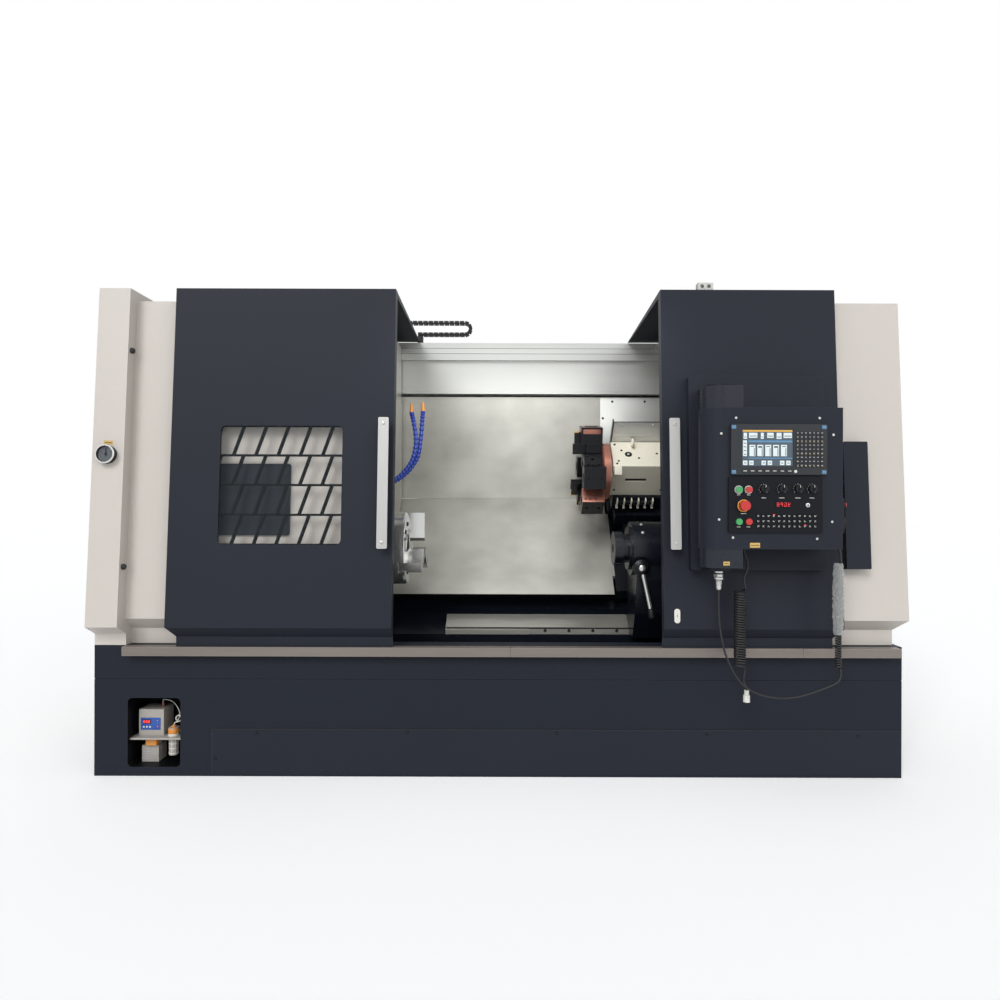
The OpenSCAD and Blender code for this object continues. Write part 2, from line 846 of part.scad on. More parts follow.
module window_lattice() {
    lap = 12;
    t = 5;
    y = sheet + 0.2 + pane_t;
    row = window_h / lattice_rows;
    skew = tan(lattice_lean) * row;
    color("#4c5258")
        on_door()
            intersection() {
                plate_y(window_x - lap, window_z - lap, window_w + 2 * lap, window_h + 2 * lap, 14, y, y + t);
                union() {
                    for (i = [0 : lattice_rows])
                        block([window_x - lap, y - 1, window_z + i * row - lattice_bar / 2],
                            [window_x + window_w + lap, y + t + 1, window_z + i * row + lattice_bar / 2]);
                    for (x = [window_x - lap, window_x + window_w])
                        block([x, y - 1, window_z], [x + lap, y + t + 1, window_z + window_h]);
                    for (i = [0 : lattice_rows - 1], k = [-1 : ceil(window_w / lattice_pitch)]) {
                        x = window_x + lattice_in + k * lattice_pitch;
                        z = window_z + i * row;
                        prism_y(y - 1, y + t + 1, [[x, z], [x + lattice_slat, z],
                            [x + lattice_slat + skew, z + row],
                            [x + skew, z + row]]);
                    }
                }
            }
}

// Flat bar on two standoffs
module handle(x) {
    color("#c9cbcc")
        on_door() {
            plate_y(x - handle_w / 2, handle_z, handle_w, handle_len, 6, -handle_gap - handle_t, -handle_gap);
            for (z = [handle_z + 95, handle_z + handle_len - 95])
                translate([x, 0, z])
                    rotate([90, 0, 0])
                        cylinder(h = handle_gap, r = 11);
        }
}

module left_door_handle() {
    handle(ldoor_end - 39);
}

module right_door_panel() {
    lug_x = rdoor_x + 173;
    lug = [69, 40, 38];
    hole = 15;
    color(navy) {
        door_shell(rdoor_x, rdoor_end, 0, 1);
        difference() {
            translate([lug_x, top_y + 14, door_top_z - 2])
                cube(lug);
            for (x = [0.28, 0.72])
                bar_y(top_y, top_y + 34, lug_x + lug[0] * x, door_top_z + 20, hole * 0.6);
        }
    }
}

module right_door_handle() {
    handle(rdoor_x + 45);
}

// Raised panel on the right door with the two swivel brackets
module pendant_mount() {
    x0 = pend_x - 91;
    w = 594;
    z0 = 258;
    h = 850;
    deep = 50;
    plate = 15;
    reach = 52;
    color(navy) {
        on_door()
            difference() {
                plate_y(x0, z0, w, h, 8, -deep, -RUN);
                plate_y(x0 + sheet, z0 + sheet, w - 2 * sheet, h - 2 * sheet, 6, -deep + sheet, 1);
            }
        for (z = [post_z - RUN - plate, post_z + post_h + RUN])
            difference() {
                union() {
                    bar_z(pend_x, pend_y, z, z + plate, reach);
                    block([pend_x - reach, pend_y, z], [pend_x + reach, door_y(z) - deep + 5, z + plate]);
                }
                bar_z(pend_x, pend_y, z - 1, z + plate + 1, pin_r + FIT);
            }
    }
}

// Plan of the post or box: round at the swivel, square at the far end
module pendant_plan(r, w) {
    circle(r);
    translate([0, -r])
        square([w - pend_r, 2 * r]);
}

module pendant_post() {
    plate = 15;
    inset = 4;
    color(navy)
        translate([pend_x, pend_y, 0]) {
            translate([0, 0, post_z])
                linear_extrude(post_h)
                    pendant_plan(pend_r - inset, 160);
            translate([0, 0, post_z - plate - RUN])
                cylinder(h = plate + RUN + 1, r = pin_r);
            translate([0, 0, post_z + post_h - 1])
                cylinder(h = plate + RUN + 1, r = pin_r);
            translate([0, 0, post_z - plate - 40])
                cylinder(h = 40, r = 17);
            translate([0, 0, post_z - plate - 82])
                cylinder(h = 43, r1 = 8, r2 = 14);
        }
}

module pendant_box() {
    skin = 3;
    inset = 4;
    color(navy)
        translate([pend_x, pend_y, 0])
            difference() {
                translate([0, 0, pend_z])
                    linear_extrude(pend_h)
                        pendant_plan(pend_r, pend_w);
                translate([80 + skin, -pend_r + skin, pend_z + skin])
                    cube([pend_w - pend_r - 80 - 2 * skin, 2 * pend_r - 2 * skin, pend_h - 2 * skin]);
                translate([0, 0, pend_z - 1])
                    linear_extrude(pend_h + 2)
                        pendant_plan(pend_r - inset, 160);
            }
}

// Display unit with its key field
screen_x = pend_x + 21;
screen_w = 389;
screen_h = 205;
screen_z = pend_z + 303;

module screen_unit() {
    t = 14;
    glass = [207, 150];
    key = 13;
    gap = 16.4;
    color("#8d9092")
        difference() {
            union() {
                plate_y(screen_x, screen_z, screen_w, screen_h, 6, pend_front - t, pend_front - 0.05);
                for (i = [0 : 6], k = [0 : 8])
                    plate_y(screen_x + 262 + i * gap, screen_z + 30 + k * gap, key, key, 1.5,
                        pend_front - t - 3, pend_front - t + 1);
                for (i = [0 : 6])
                    plate_y(screen_x + 44 + i * 30, screen_z + 8, 24, 14, 2, pend_front - t - 3,
                        pend_front - t + 1);
            }
            block([screen_x + 45, pend_front - t - 1, screen_z + 34],
                [screen_x + 45 + glass[0], pend_front - t + 4, screen_z + 34 + glass[1]]);
        }
}

// Operator panel with its small keys, and bores for the buttons and switches
panel_x = pend_x + 13;
panel_w = 382;
panel_h = 228;
panel_z = pend_z + 67;
panel_t = 8;
stem_r = 8;
cap_r = 13;
button_x = [pend_x + 54, pend_x + 94];
button_z = [panel_z + 175, panel_z + 45];
knob_x = [pend_x + 155, pend_x + 229, pend_x + 294, pend_x + 351];
knob_z = panel_z + 179;
stop_x = pend_x + 74;
stop_z = panel_z + 110;

module machine_panel() {
    key = 15;
    gap = 21;
    face = pend_front - panel_t;
    color("#3b3f44")
        difference() {
            union() {
                plate_y(panel_x, panel_z, panel_w, panel_h, 5, face, pend_front - 0.05);
                for (i = [0 : 11], k = [0 : 2])
                    plate_y(panel_x + 113 + i * gap, panel_z + 21 + k * gap, key, key, 1.5, face - 2,
                        face + 1);
                plate_y(panel_x + 191, panel_z + 103, 62, 24, 2, face - 2, face + 1);
            }
            for (x = button_x, z = button_z)
                bar_y(face - 1, pend_front + 1, x, z, stem_r + FIT);
            for (x = knob_x)
                bar_y(face - 1, pend_front + 1, x, knob_z, stem_r + FIT);
            bar_y(face - 1, pend_front + 1, stop_x, stop_z, stem_r + FIT);
        }
}

// Round push button with its stem, standing clear of the panel by its travel
module push_button(x, z, tint) {
    face = pend_front - panel_t;
    travel = 4;
    color(tint) {
        bar_y(face - travel - 8, face - travel - RUN, x, z, cap_r);
        bar_y(face - travel - 1, pend_front - 0.6 - travel, x, z, stem_r);
    }
}

module power_on_button() { push_button(button_x[0], button_z[0], "#2fae5a"); }
module power_off_button() { push_button(button_x[1], button_z[0], "#c8302c"); }
module start_button() { push_button(button_x[0], button_z[1], "#2fae5a"); }
module hold_button() { push_button(button_x[1], button_z[1], "#c8302c"); }

module stop_button() {
    face = pend_front - panel_t;
    travel = 6;
    color("#c3211f") {
        bar_y(face - travel - 24, face - travel - RUN, stop_x, stop_z, 20);
        bar_y(face - travel - 1, pend_front - 0.6 - travel, stop_x, stop_z, stem_r);
    }
}

module knob(x) {
    face = pend_front - panel_t;
    color(black) {
        bar_y(face - 22, face - RUN, x, knob_z, 15);
        block([x - 3, face - 27, knob_z - 14], [x + 3, face - 21, knob_z + 14]);
        bar_y(face - 1, pend_front - 0.6, x, knob_z, stem_r);
    }
}

module mode_knob() { knob(knob_x[0]); }
module feed_knob() { knob(knob_x[1]); }
module rapid_knob() { knob(knob_x[2]); }
module speed_knob() { knob(knob_x[3]); }

// Handheld pulse generator in its holder on the pendant's right side
hand_x = pend_x - pend_r + pend_w;
hand_z = pend_z + 63;

module handheld_unit() {
    h = 147;
    w = 84;
    t = 26;
    y = pend_y - w / 2;
    color(black) {
        translate([hand_x + 0.1, y, hand_z])
            rotate([90, 0, 90])
                linear_extrude(t)
                    round_rect(w, h, 9);
        bar_x(hand_x + t, hand_x + t + 14, pend_y, hand_z + 44, 29);
        bar_x(hand_x + t, hand_x + t + 12, pend_y - 22, hand_z + 118, 9);
        bar_x(hand_x + t, hand_x + t + 9, pend_y + 14, hand_z + 112, 11);
    }
}

// Cords of the pendant: points are places that the cord passes
cord_r = 4.5;
handset_route = [
    [0, 0, -97.3], [0, 0, -158], [2, -1, -218], [8, -3, -278], [20, -5, -338], [38, -6, -392], [64, -7, -446],
    [96, -7, -488], [136, -7, -518], [181, -7, -536], [231, -7, -546], [281, -7, -548], [331, -7, -542],
    [381, -7, -528], [426, -7, -512], [466, -7, -496], [490, -7, -480], [498, -7, -458], [498, -7, -440]
];
handset_lead = [[498, -7, 20], [498, -6, 42], [497, -4, 72], [494, -1, 100], [493, 0, 122], [493, 0, 140.7]];
spare_route = [
    [120, 40, 77.7], [120, 40, 54], [130, 40, 28], [135, 40, 2], [130, 40, -22], [118, 40, -40],
        [106, 40, -58],
    [102, 40, -78], [102, 40, -94]
];
spare_tail = [
    [102, 40, -436], [102, 40, -452], [106, 40, -470], [114, 40, -488], [123, 40, -502], [131, 40, -514],
    [131, 40, -526]
];
handset_bare_r = 14;
handset_wrap_r = 28;
handset_wrap_low = -280;
spare_curl_r = 27;

module at_post() {
    translate([pend_x, pend_y, post_z])
        children();
}

function unit(v) = v / norm(v);
function tangent(p, i) = unit(p[min(i + 1, len(p) - 1)] - p[max(i - 1, 0)]);
function side(t) = unit(cross(t, [0, 1, 0]));

// One tube of n sides swept along a route
module cord_tube(p, r) {
    n = 8;
    rings = len(p);
    points = [for (i = [0 : rings - 1]) let (t = tangent(p, i), a = side(t), b = cross(t, a))
        for (k = [0 : n - 1]) p[i] + r * (cos(360 * k / n) * a + sin(360 * k / n) * b)];
    walls = [for (i = [0 : rings - 2], k = [0 : n - 1])
        [i * n + k, i * n + (k + 1) % n, (i + 1) * n + (k + 1) % n, (i + 1) * n + k]];
    ends = [[for (k = [n - 1 : -1 : 0]) k], [for (k = [0 : n - 1]) (rings - 1) * n + k]];
    polyhedron(points, concat(walls, ends));
}

module handset_cord() {
    color(black)
        at_post() {
            cord_tube(handset_route, cord_r);
            cord_tube(handset_lead, cord_r);
        }
}

// Curled part: bare below, wrapped in film above
module handset_curl() {
    top = handset_lead[0];
    low = handset_route[len(handset_route) - 1];
    color(black)
        at_post() {
            bar_z(top[0], top[1], low[2], handset_wrap_low + 1, handset_bare_r);
            bar_z(top[0], top[1], handset_wrap_low, top[2], handset_wrap_r);
        }
}

module spare_cord() {
    color(black)
        at_post() {
            cord_tube(spare_route, cord_r);
            cord_tube(spare_tail, cord_r);
        }
}

module spare_curl() {
    low = spare_tail[0];
    top = spare_route[len(spare_route) - 1];
    color(black)
        at_post()
            bar_z(low[0], low[1], low[2], top[2], spare_curl_r);
}

module spare_plug() {
    at = spare_tail[len(spare_tail) - 1];
    color("#e4e2dc")
        at_post() {
            bar_z(at[0], at[1], at[2] - 22, at[2] - RUN, 10);
            bar_z(at[0], at[1], at[2] - 50, at[2] - 21, 14);
        }
}

// Hollow spindle with its nose flange
module spindle() {
    nose_r = 115;
    nose = 34;
    color(steel)
        difference() {
            union() {
                bar_x(head_x0 - 90, chuck_x - nose + 1, axis_y, axis_z, spindle_r);
                bar_x(chuck_x - nose, chuck_x, axis_y, axis_z, nose_r);
                bar_x(head_x0 - 70, head_x0 - 5, axis_y, axis_z, spindle_r + 22);
            }
            bar_x(head_x0 - 91, chuck_x + 1, axis_y, axis_z, bore_r);
        }
}

slot_depth = 28;

// Turns children about the spindle so that their +Z points out along jaw k
module at_jaw(k) {
    translate([0, axis_y, axis_z])
        rotate([120 * k, 0, 0])
            children();
}

module chuck_body() {
    edge = 8;
    color(steel)
        difference() {
            translate([chuck_x, axis_y, axis_z])
                rotate([0, 90, 0])
                    rotate_extrude()
                        polygon([[bore_r + 4, 0], [chuck_r - 12, 0], [chuck_r - 12, 18], [chuck_r, 22],
                            [chuck_r, chuck_len - edge], [chuck_r - edge, chuck_len],
                                [bore_r + 4, chuck_len]]);
            for (k = [0 : 2])
                at_jaw(k) {
                    block([chuck_face - slot_depth, -jaw_w / 2, bore_r - 10],
                        [chuck_face + 1, jaw_w / 2, chuck_r + 5]);
                    block([chuck_face - slot_depth, -jaw_w / 2 - 7, bore_r - 10],
                        [chuck_face - slot_depth + 12, jaw_w / 2 + 7, chuck_r + 5]);
                }
        }
}

// Base jaw in the chuck's tee slot, with a soft jaw block on it
module jaw(k) {
    inner = 34;
    outer = chuck_r - 5;
    gap = RUN;
    half = jaw_w / 2 - gap;
    wide = jaw_w / 2 + 5;
    point = wide * tan(30);
    foot = 10;
    color("#9a9c9d")
        at_jaw(k) {
            block([chuck_face - slot_depth + gap, -half, inner + 34],
                [chuck_face + foot + 1, half, outer - 6]);
            block([chuck_face - slot_depth + gap, -half - 7, inner + 34],
                [chuck_face - slot_depth + 12 - gap, half + 7, outer - 6]);
            difference() {
                prism_x(chuck_face + foot, chuck_face + jaw_h, [[0, inner], [wide, inner + point],
                    [wide, outer],
                    [-wide, outer], [-wide, inner + point]]);
                for (r = [inner + 62, inner + 106])
                    translate([chuck_face + jaw_h - 16, 0, r])
                        rotate([0, 90, 0])
                            cylinder(h = 17, r = 11);
            }
        }
}

module jaw_1() { jaw(0); }
module jaw_2() { jaw(1); }
module jaw_3() { jaw(2); }

saddle_x = disc_x + 68;
saddle_w = 380;
cross_way = 40;

// Saddle on the bed's two rails, with the cross ways on top
module saddle() {
    face = -130;
    rail = 45;
    top = -12;
    color(iron)
        on_slant()
            difference() {
                union() {
                    block([saddle_x, 30, face + rail + 4], [saddle_x + saddle_w, guard_len - 10, top]);
                    for (s = [80, 540])
                        block([saddle_x, s - 30, face + 3],
                            [saddle_x + saddle_w, s + rail + 30, face + rail + 6]);
                    for (x = [saddle_x + 70, saddle_x + saddle_w - 110])
                        block([x, 60, top - 1], [x + 40, guard_len - 10, cross_way]);
                }
                for (s = [80, 540])
                    block([saddle_x - 1, s - RUN, face],
                        [saddle_x + saddle_w + 1, s + rail + RUN, face + rail + RUN]);
            }
}

// Stainless shield that travels with the saddle: slanted sheet and upright back
module way_shield() {
    t = 3;
    seam = 40;
    top = lintel_z - 14;
    x0 = lpanel_end - 65;
    x1 = right - 240;
    ends = [[x0, saddle_x - 14], [saddle_x + saddle_w + 14, x1]];
    color(stainless) {
        on_slant() {
            for (e = ends)
                block([e[0], 0, -t], [e[1], guard_len - 1, 0]);
            for (x = [saddle_x - 30, saddle_x + saddle_w])
                block([x, 120, -30], [x + 30, 560, -t]);
        }
        for (e = ends)
            block([e[0], guard_top_y, guard_top_z], [e[1], guard_top_y + t, guard_top_z + seam - RUN]);
        block([x0, guard_top_y, guard_top_z + seam], [x1, guard_top_y + t, top]);
    }
}

// Values that the cross slide and the turret housing share, up the slant and out of it
house_low = turret_s - 75;
house_tall = 185;
house_top = turret_p + 110;
house_base = house_top - 194;
house_x = disc_x + disc_t + 14;
house_w = 290;

// Cross slide with the pedestal, the coolant ports and the chip guard behind the housing
module cross_slide() {
    slide_x0 = saddle_x + 20;
    slide_x1 = saddle_x + saddle_w - 20;
    high = house_low + house_tall;
    guard_t = 6;
    color(iron)
        on_slant()
            difference() {
                union() {
                    block([slide_x0, house_low - 60, cross_way + RUN], [slide_x1, high + 10, cross_way + 74]);
                    block([house_x + 16, house_low - 20, cross_way + 73],
                        [house_x + house_w - 10, high, house_base - 20.1]);
                    for (i = [0 : 4])
                        translate([house_x + 60 + i * 38, house_low - 19, house_base - 44])
                            rotate([90, 0, 0])
                                cylinder(h = 18, r = 13);
                    block([house_x, high + 4, cross_way + 73],
                        [slide_x1, high + 4 + guard_t, house_top + 136]);
                    for (x = [house_x, slide_x1 - guard_t])
                        block([x, high + 4, cross_way + 73], [x + guard_t, high + 30, house_top + 136]);
                }
                for (x = [saddle_x + 70, saddle_x + saddle_w - 110])
                    block([x - RUN, house_low - 70, cross_way - 1],
                        [x + 40 + RUN, high + 20, cross_way + RUN]);
            }
}

// Housing of the turret drive, with its bearing ring, oil slot and eyebolt
module turret_housing() {
    color("#e4dece")
        on_slant()
            difference() {
                union() {
                    block([house_x, house_low, house_base - 20],
                        [house_x + house_w, house_low + house_tall, house_top]);
                    translate([house_x - 10, turret_s, turret_p])
                        rotate([0, 90, 0])
                            cylinder(h = 26, r = 78);
                    translate([house_x + 110, house_low + 150, house_top - 1])
                        cylinder(h = 16, r = 10);
                    translate([house_x + 101, house_low + 150, house_top + 30])
                        rotate([0, 90, 0])
                            rotate_extrude()
                                translate([16, 9])
                                    circle(6);
                }
                block([house_x + 70, house_low - 1, house_base + 84],
                    [house_x + 182, house_low + 6, house_base + 104]);
                block([house_x - 1, house_low - 1, house_top - 70],
                    [house_x + 24, house_low + 30, house_top - 40]);
                translate([house_x - 20, turret_s, turret_p])
                    rotate([0, 90, 0])
                        cylinder(h = 150, r = 40 + FIT);
            }
}

// Children are turned about the turret's axis to station k, with +Z pointing out
module at_station(k) {
    translate([0, turret_y, turret_z])
        rotate([360 / stations * k + turret_turn, 0, 0])
            children();
}

module turret_disc() {
    color("#8a6a4a")
        translate([disc_x, turret_y, turret_z])
            rotate([turret_turn, 0, 0])
                rotate([0, 90, 0])
                    union() {
                        difference() {
                            union() {
                                cylinder(h = 6, r1 = disc_r - 6, r2 = disc_r);
                                translate([0, 0, 6])
                                    cylinder(h = disc_t - 6, r = disc_r);
                            }
                            translate([0, 0, -1])
                                cylinder(h = 12, r = 60);
                        }
                        translate([0, 0, disc_t - 1])
                            cylinder(h = 4, r = 70);
                        translate([0, 0, disc_t + 2])
                            cylinder(h = 120, r = 40);
                    }
}

// Foot and head of a tool block on its station, with a chamfer along the head's leading edge
module block_form(x0, half, seat, top) {
    foot = 46;
    difference() {
        union() {
            block([x0 + 30, -half + 16, seat - foot], [disc_x, half - 16, seat + 1]);
            block([x0, -half, seat], [disc_x, half, top]);
        }
        translate([x0 - 1, -half, top])
            rotate([45, 0, 0])
                cube([block_len + 2, 17, 17], center = false);
        for (x = [x0 + 24, x0 + block_len - 24])
            translate([x, 0, top - 10])
                cylinder(h = 11, r = 8);
    }
}

// Turning tool blocks, boring blocks, and low holders on the stations that are left
module tool_blocks() {
    half = block_w / 2;
    seat = disc_r;
    top = seat + block_h;
    x0 = disc_x - block_len;
    bore = seat + block_h / 2;
    shank = 26;
    for (k = [0, 5])
        at_station(k) {
            color("#3c3f43")
                block_form(x0, half, seat, top);
            color("#2c2e31") {
                block([x0 - 40, -shank / 2, seat - 58], [x0 + 31, shank / 2, seat - 2]);
                block([x0 - 32, -shank / 2 + 4, seat - 3], [x0 + 1, shank / 2 - 4, top - 28]);
            }
        }
    for (k = [2, 3, 6])
        at_station(k)
            color("#a9764f")
                difference() {
                    block_form(x0, half, seat, top);
                    translate([x0 - 1, 0, bore])
                        rotate([0, 90, 0])
                            cylinder(h = 90, r = 20);
                    for (x = [x0 + 14, x0 + 38, x0 + 66])
                        translate([x, half - 9, bore + 26])
                            rotate([-90, 0, 0])
                                cylinder(h = 10, r = 5);
                }
    for (k = [1, 4, 7])
        at_station(k)
            color("#4b4f54")
                difference() {
                    block([x0 + 16, -42, 50], [disc_x, 42, 100]);
                    translate([x0 + 60, 0, 92])
                        cylinder(h = 9, r = 10);
                }
}

// Tailstock body on the bed's slanted way
module tailstock_body() {
    toe = front + way_front;
    heel = toe + way_w;
    x1 = tail_x + tail_len;
    color(iron)
        difference() {
            union() {
                bar_x(tail_x - 16, x1, axis_y, axis_z, barrel_r);
                bar_x(tail_x - 30, tail_x + 1, axis_y, axis_z, barrel_r - 26);
                prism_x(tail_x, x1 - 40, [[axis_y - 105, axis_z], [axis_y - 105, axis_z - 144],
                    [axis_y - 60, way_z + 130], [axis_y + 10, way_z + 2], [toe - RUN - 8.5, way_z + 2],
                    [toe - RUN - 8.5, way_z + way_t + 4], [toe, way_z + way_t + 0.4],
                    [heel, way_z + way_rise + way_t + 0.4], [heel, way_z + way_rise + way_t + 44],
                    [heel - 34, way_z + 170], [axis_y + 125, axis_z - 110], [axis_y + 118, axis_z]]);
            }
            bar_x(tail_x - 40, x1 + 1, axis_y, axis_z, quill_r + FIT);
            bar_y(axis_y - 140, axis_y - 75, lever_x, lever_z, 14 + FIT);
        }
}

module quill() {
    x0 = tail_x - 97;
    nose_r = quill_r + 12;
    color("#3a3d42")
        difference() {
            union() {
                bar_x(x0 + 20, tail_x + tail_len - 30, axis_y, axis_z, quill_r);
                bar_x(x0, x0 + 40, axis_y, axis_z, nose_r);
            }
            translate([x0 - 1, axis_y, axis_z])
                rotate([0, 90, 0])
                    cylinder(h = 140, r1 = 23, r2 = 19);
        }
}

// Clamping lever on the front of the tailstock
lever_x = tail_x + 17;
lever_z = axis_z - 83;

module clamp_lever() {
    y1 = axis_y - 126;
    y0 = y1 - 36;
    tip = [lever_x + 41, y0 - 18, lever_z - 215];
    start = [lever_x + 4, y0 + 18, lever_z - 18];
    run = tip - start;
    color(black) {
        bar_y(y0, y1, lever_x, lever_z, 41);
        bar_y(y1 - 1, axis_y - 76, lever_x, lever_z, 14);
        translate(start)
            rotate([0, acos(run[2] / norm(run)), atan2(run[1], run[0])])
                cylinder(h = norm(run), r = 11);
        translate(tip)
            sphere(r = 19);
    }
}

base_frame();
kick_panel();
door_rail();
bed_casting();
tailstock_way();
headstock();
inner_wall();
left_end_cover();
left_front_panel();
access_cover();
right_end_cover();
cable_box();
lintel_beam();
rear_cover();
gauge_body();
lubricator();
coolant_hoses();
drag_chain();
gauge_needle();
cabinet_door();
left_door_panel();
left_door_window();
window_lattice();
left_door_handle();
right_door_panel();
right_door_handle();
pendant_mount();
pendant_post();
pendant_box();
screen_unit();
machine_panel();
handheld_unit();
mode_knob();
feed_knob();
rapid_knob();
speed_knob();
stop_button();
power_on_button();
power_off_button();
start_button();
hold_button();
handset_cord();
handset_curl();
spare_cord();
spare_curl();
spare_plug();
spindle();
chuck_body();
jaw_1();
jaw_2();
jaw_3();
saddle();
way_shield();
cross_slide();
turret_housing();
turret_disc();
tool_blocks();
tailstock_body();
quill();
clamp_lever();
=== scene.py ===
"""Looks of the slant-bed turning lathe: camera, light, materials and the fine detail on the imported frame.

Lengths are metres in the frame of the CAD model: +X right, +Y back, +Z up, origin on the floor. Turned
profiles, details in a placement of their own, tiles, screws and bolts are in millimetres.
"""

import random
from math import atan2, copysign, cos, degrees, pi, radians, sin

import bmesh
import bpy
from mathutils import Matrix, Vector


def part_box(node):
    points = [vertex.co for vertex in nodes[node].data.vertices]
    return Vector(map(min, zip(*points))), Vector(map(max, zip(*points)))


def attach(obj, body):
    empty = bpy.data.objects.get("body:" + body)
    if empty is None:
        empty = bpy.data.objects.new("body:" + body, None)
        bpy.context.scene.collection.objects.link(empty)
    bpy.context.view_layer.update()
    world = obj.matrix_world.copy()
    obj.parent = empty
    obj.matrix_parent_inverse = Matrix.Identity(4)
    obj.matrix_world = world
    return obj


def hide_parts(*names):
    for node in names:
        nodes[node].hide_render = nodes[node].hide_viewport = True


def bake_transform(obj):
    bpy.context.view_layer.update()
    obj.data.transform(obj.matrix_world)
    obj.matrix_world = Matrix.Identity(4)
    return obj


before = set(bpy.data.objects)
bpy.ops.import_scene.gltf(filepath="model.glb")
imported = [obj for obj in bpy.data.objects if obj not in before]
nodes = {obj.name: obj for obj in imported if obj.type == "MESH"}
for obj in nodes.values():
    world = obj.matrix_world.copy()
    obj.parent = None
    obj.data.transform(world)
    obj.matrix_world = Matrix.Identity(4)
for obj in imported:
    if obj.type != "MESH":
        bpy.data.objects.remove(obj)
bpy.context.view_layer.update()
MM = 0.001

# The photograph's camera: size and focal length in pixels, its centre, and its place before the machine
PHOTO_PX = 1000
FOCAL_PX = 740
CENTRE_PX = (508, 505)
CAMERA_AT = Vector((0.042, -4.25, 1.213))
CAMERA_ROLL = radians(0.17)
SENSOR_MM = 36
FLOOR_HALF = 40
FLOOR_GLOW = 0.25


def linear(r, g, b):
    """A colour written as 0 to 255 values, as the linear RGBA that shaders take."""
    def one(v):
        v /= 255
        return v / 12.92 if v <= 0.04045 else ((v + 0.055) / 1.055) ** 2.4
    return (one(r), one(g), one(b), 1.0)


def add_node(tree, kind, inputs=None, **settings):
    """A shader node with its settings and inputs. An input that is given a socket is linked to it."""
    made = tree.nodes.new("ShaderNode" + kind)
    for key, value in settings.items():
        setattr(made, key, value)
    for key, value in (inputs or {}).items():
        if isinstance(value, bpy.types.NodeSocket):
            tree.links.new(value, made.inputs[key])
        else:
            made.inputs[key].default_value = value
    return made


def in_sight(tree):
    """A socket that is 1 on rays that show a thing to the camera, directly, by gloss or through glass."""
    rays = add_node(tree, "LightPath").outputs
    seen = rays["Is Camera Ray"]
    for kind in ("Is Glossy Ray", "Is Transmission Ray"):
        seen = add_node(tree, "Math", {0: seen, 1: rays[kind]}, operation="MAXIMUM").outputs[0]
    return seen


# Camera, light and floor

def make_camera():
    data = bpy.data.cameras.new("camera")
    data.sensor_width = SENSOR_MM
    data.lens = SENSOR_MM * FOCAL_PX / PHOTO_PX
    data.shift_x = 0.5 - CENTRE_PX[0] / PHOTO_PX
    data.shift_y = CENTRE_PX[1] / PHOTO_PX - 0.5
    data.clip_end = 100
    cam = bpy.data.objects.new("camera", data)
    bpy.context.collection.objects.link(cam)
    upright = Matrix.Rotation(pi / 2, 4, "X")
    cam.matrix_world = Matrix.Translation(CAMERA_AT) @ upright @ Matrix.Rotation(CAMERA_ROLL, 4, "Z")
    bpy.context.scene.camera = cam


def lamp(name, kind, along, energy, at=(0, 0, 0), **settings):
    """A lamp that shines along a direction."""
    data = bpy.data.lights.new(name, kind)
    data.energy = energy
    for key, value in settings.items():
        setattr(data, key, value)
    made = bpy.data.objects.new(name, data)
    bpy.context.collection.objects.link(made)
    aim = Vector(along).to_track_quat("-Z", "Y").to_matrix().to_4x4()
    made.matrix_world = Matrix.Translation(at) @ aim


def make_light():
    bpy.context.scene.view_settings.view_transform = "Standard"
    world = bpy.data.worlds.new("studio")
    bpy.context.scene.world = world
    world.use_nodes = True
    tree = world.node_tree
    tree.nodes.clear()
    ambient = add_node(tree, "Background", {"Color": (0.94, 0.97, 1.0, 1), "Strength": 0.45})
    backdrop = add_node(tree, "Background", {"Color": (1, 1, 1, 1), "Strength": 1.0})
    shown = {0: in_sight(tree), 1: ambient.outputs[0], 2: backdrop.outputs[0]}
    add_node(tree, "OutputWorld", {0: add_node(tree, "MixShader", shown).outputs[0]})
    lamp("key", "SUN", (0.32, 0.8, -0.62), 1.55, angle=radians(28))
    lamp("fill", "SUN", (-0.55, 0.75, -0.35), 0.5, angle=radians(40))
    lamp("work_lamp", "AREA", (-0.05, 1.0, -0.92), 3, (0.15, -1.15, 2.02), shape="RECTANGLE", size=1.0,
         size_y=0.12)


def make_floor():
    mesh = bpy.data.meshes.new("floor")
    half = FLOOR_HALF
    corners = [(-half, -half, 0), (half, -half, 0), (half, half, 0), (-half, half, 0)]
    mesh.from_pydata(corners, [], [(0, 1, 2, 3)])
    floor = bpy.data.objects.new("floor", mesh)
    bpy.context.collection.objects.link(floor)
    mat = bpy.data.materials.new("floor_pale")
    mat.use_nodes = True
    tree = mat.node_tree
    bsdf = tree.nodes["Principled BSDF"].inputs
    bsdf["Base Color"].default_value = (0.93, 0.93, 0.93, 1)
    bsdf["Roughness"].default_value = 0.9
    bsdf["Emission Color"].default_value = (1, 1, 1, 1)
    glow = add_node(tree, "Math", {0: in_sight(tree), 1: FLOOR_GLOW}, operation="MULTIPLY")
    tree.links.new(glow.outputs[0], bsdf["Emission Strength"])
    mesh.materials.append(mat)


# Materials

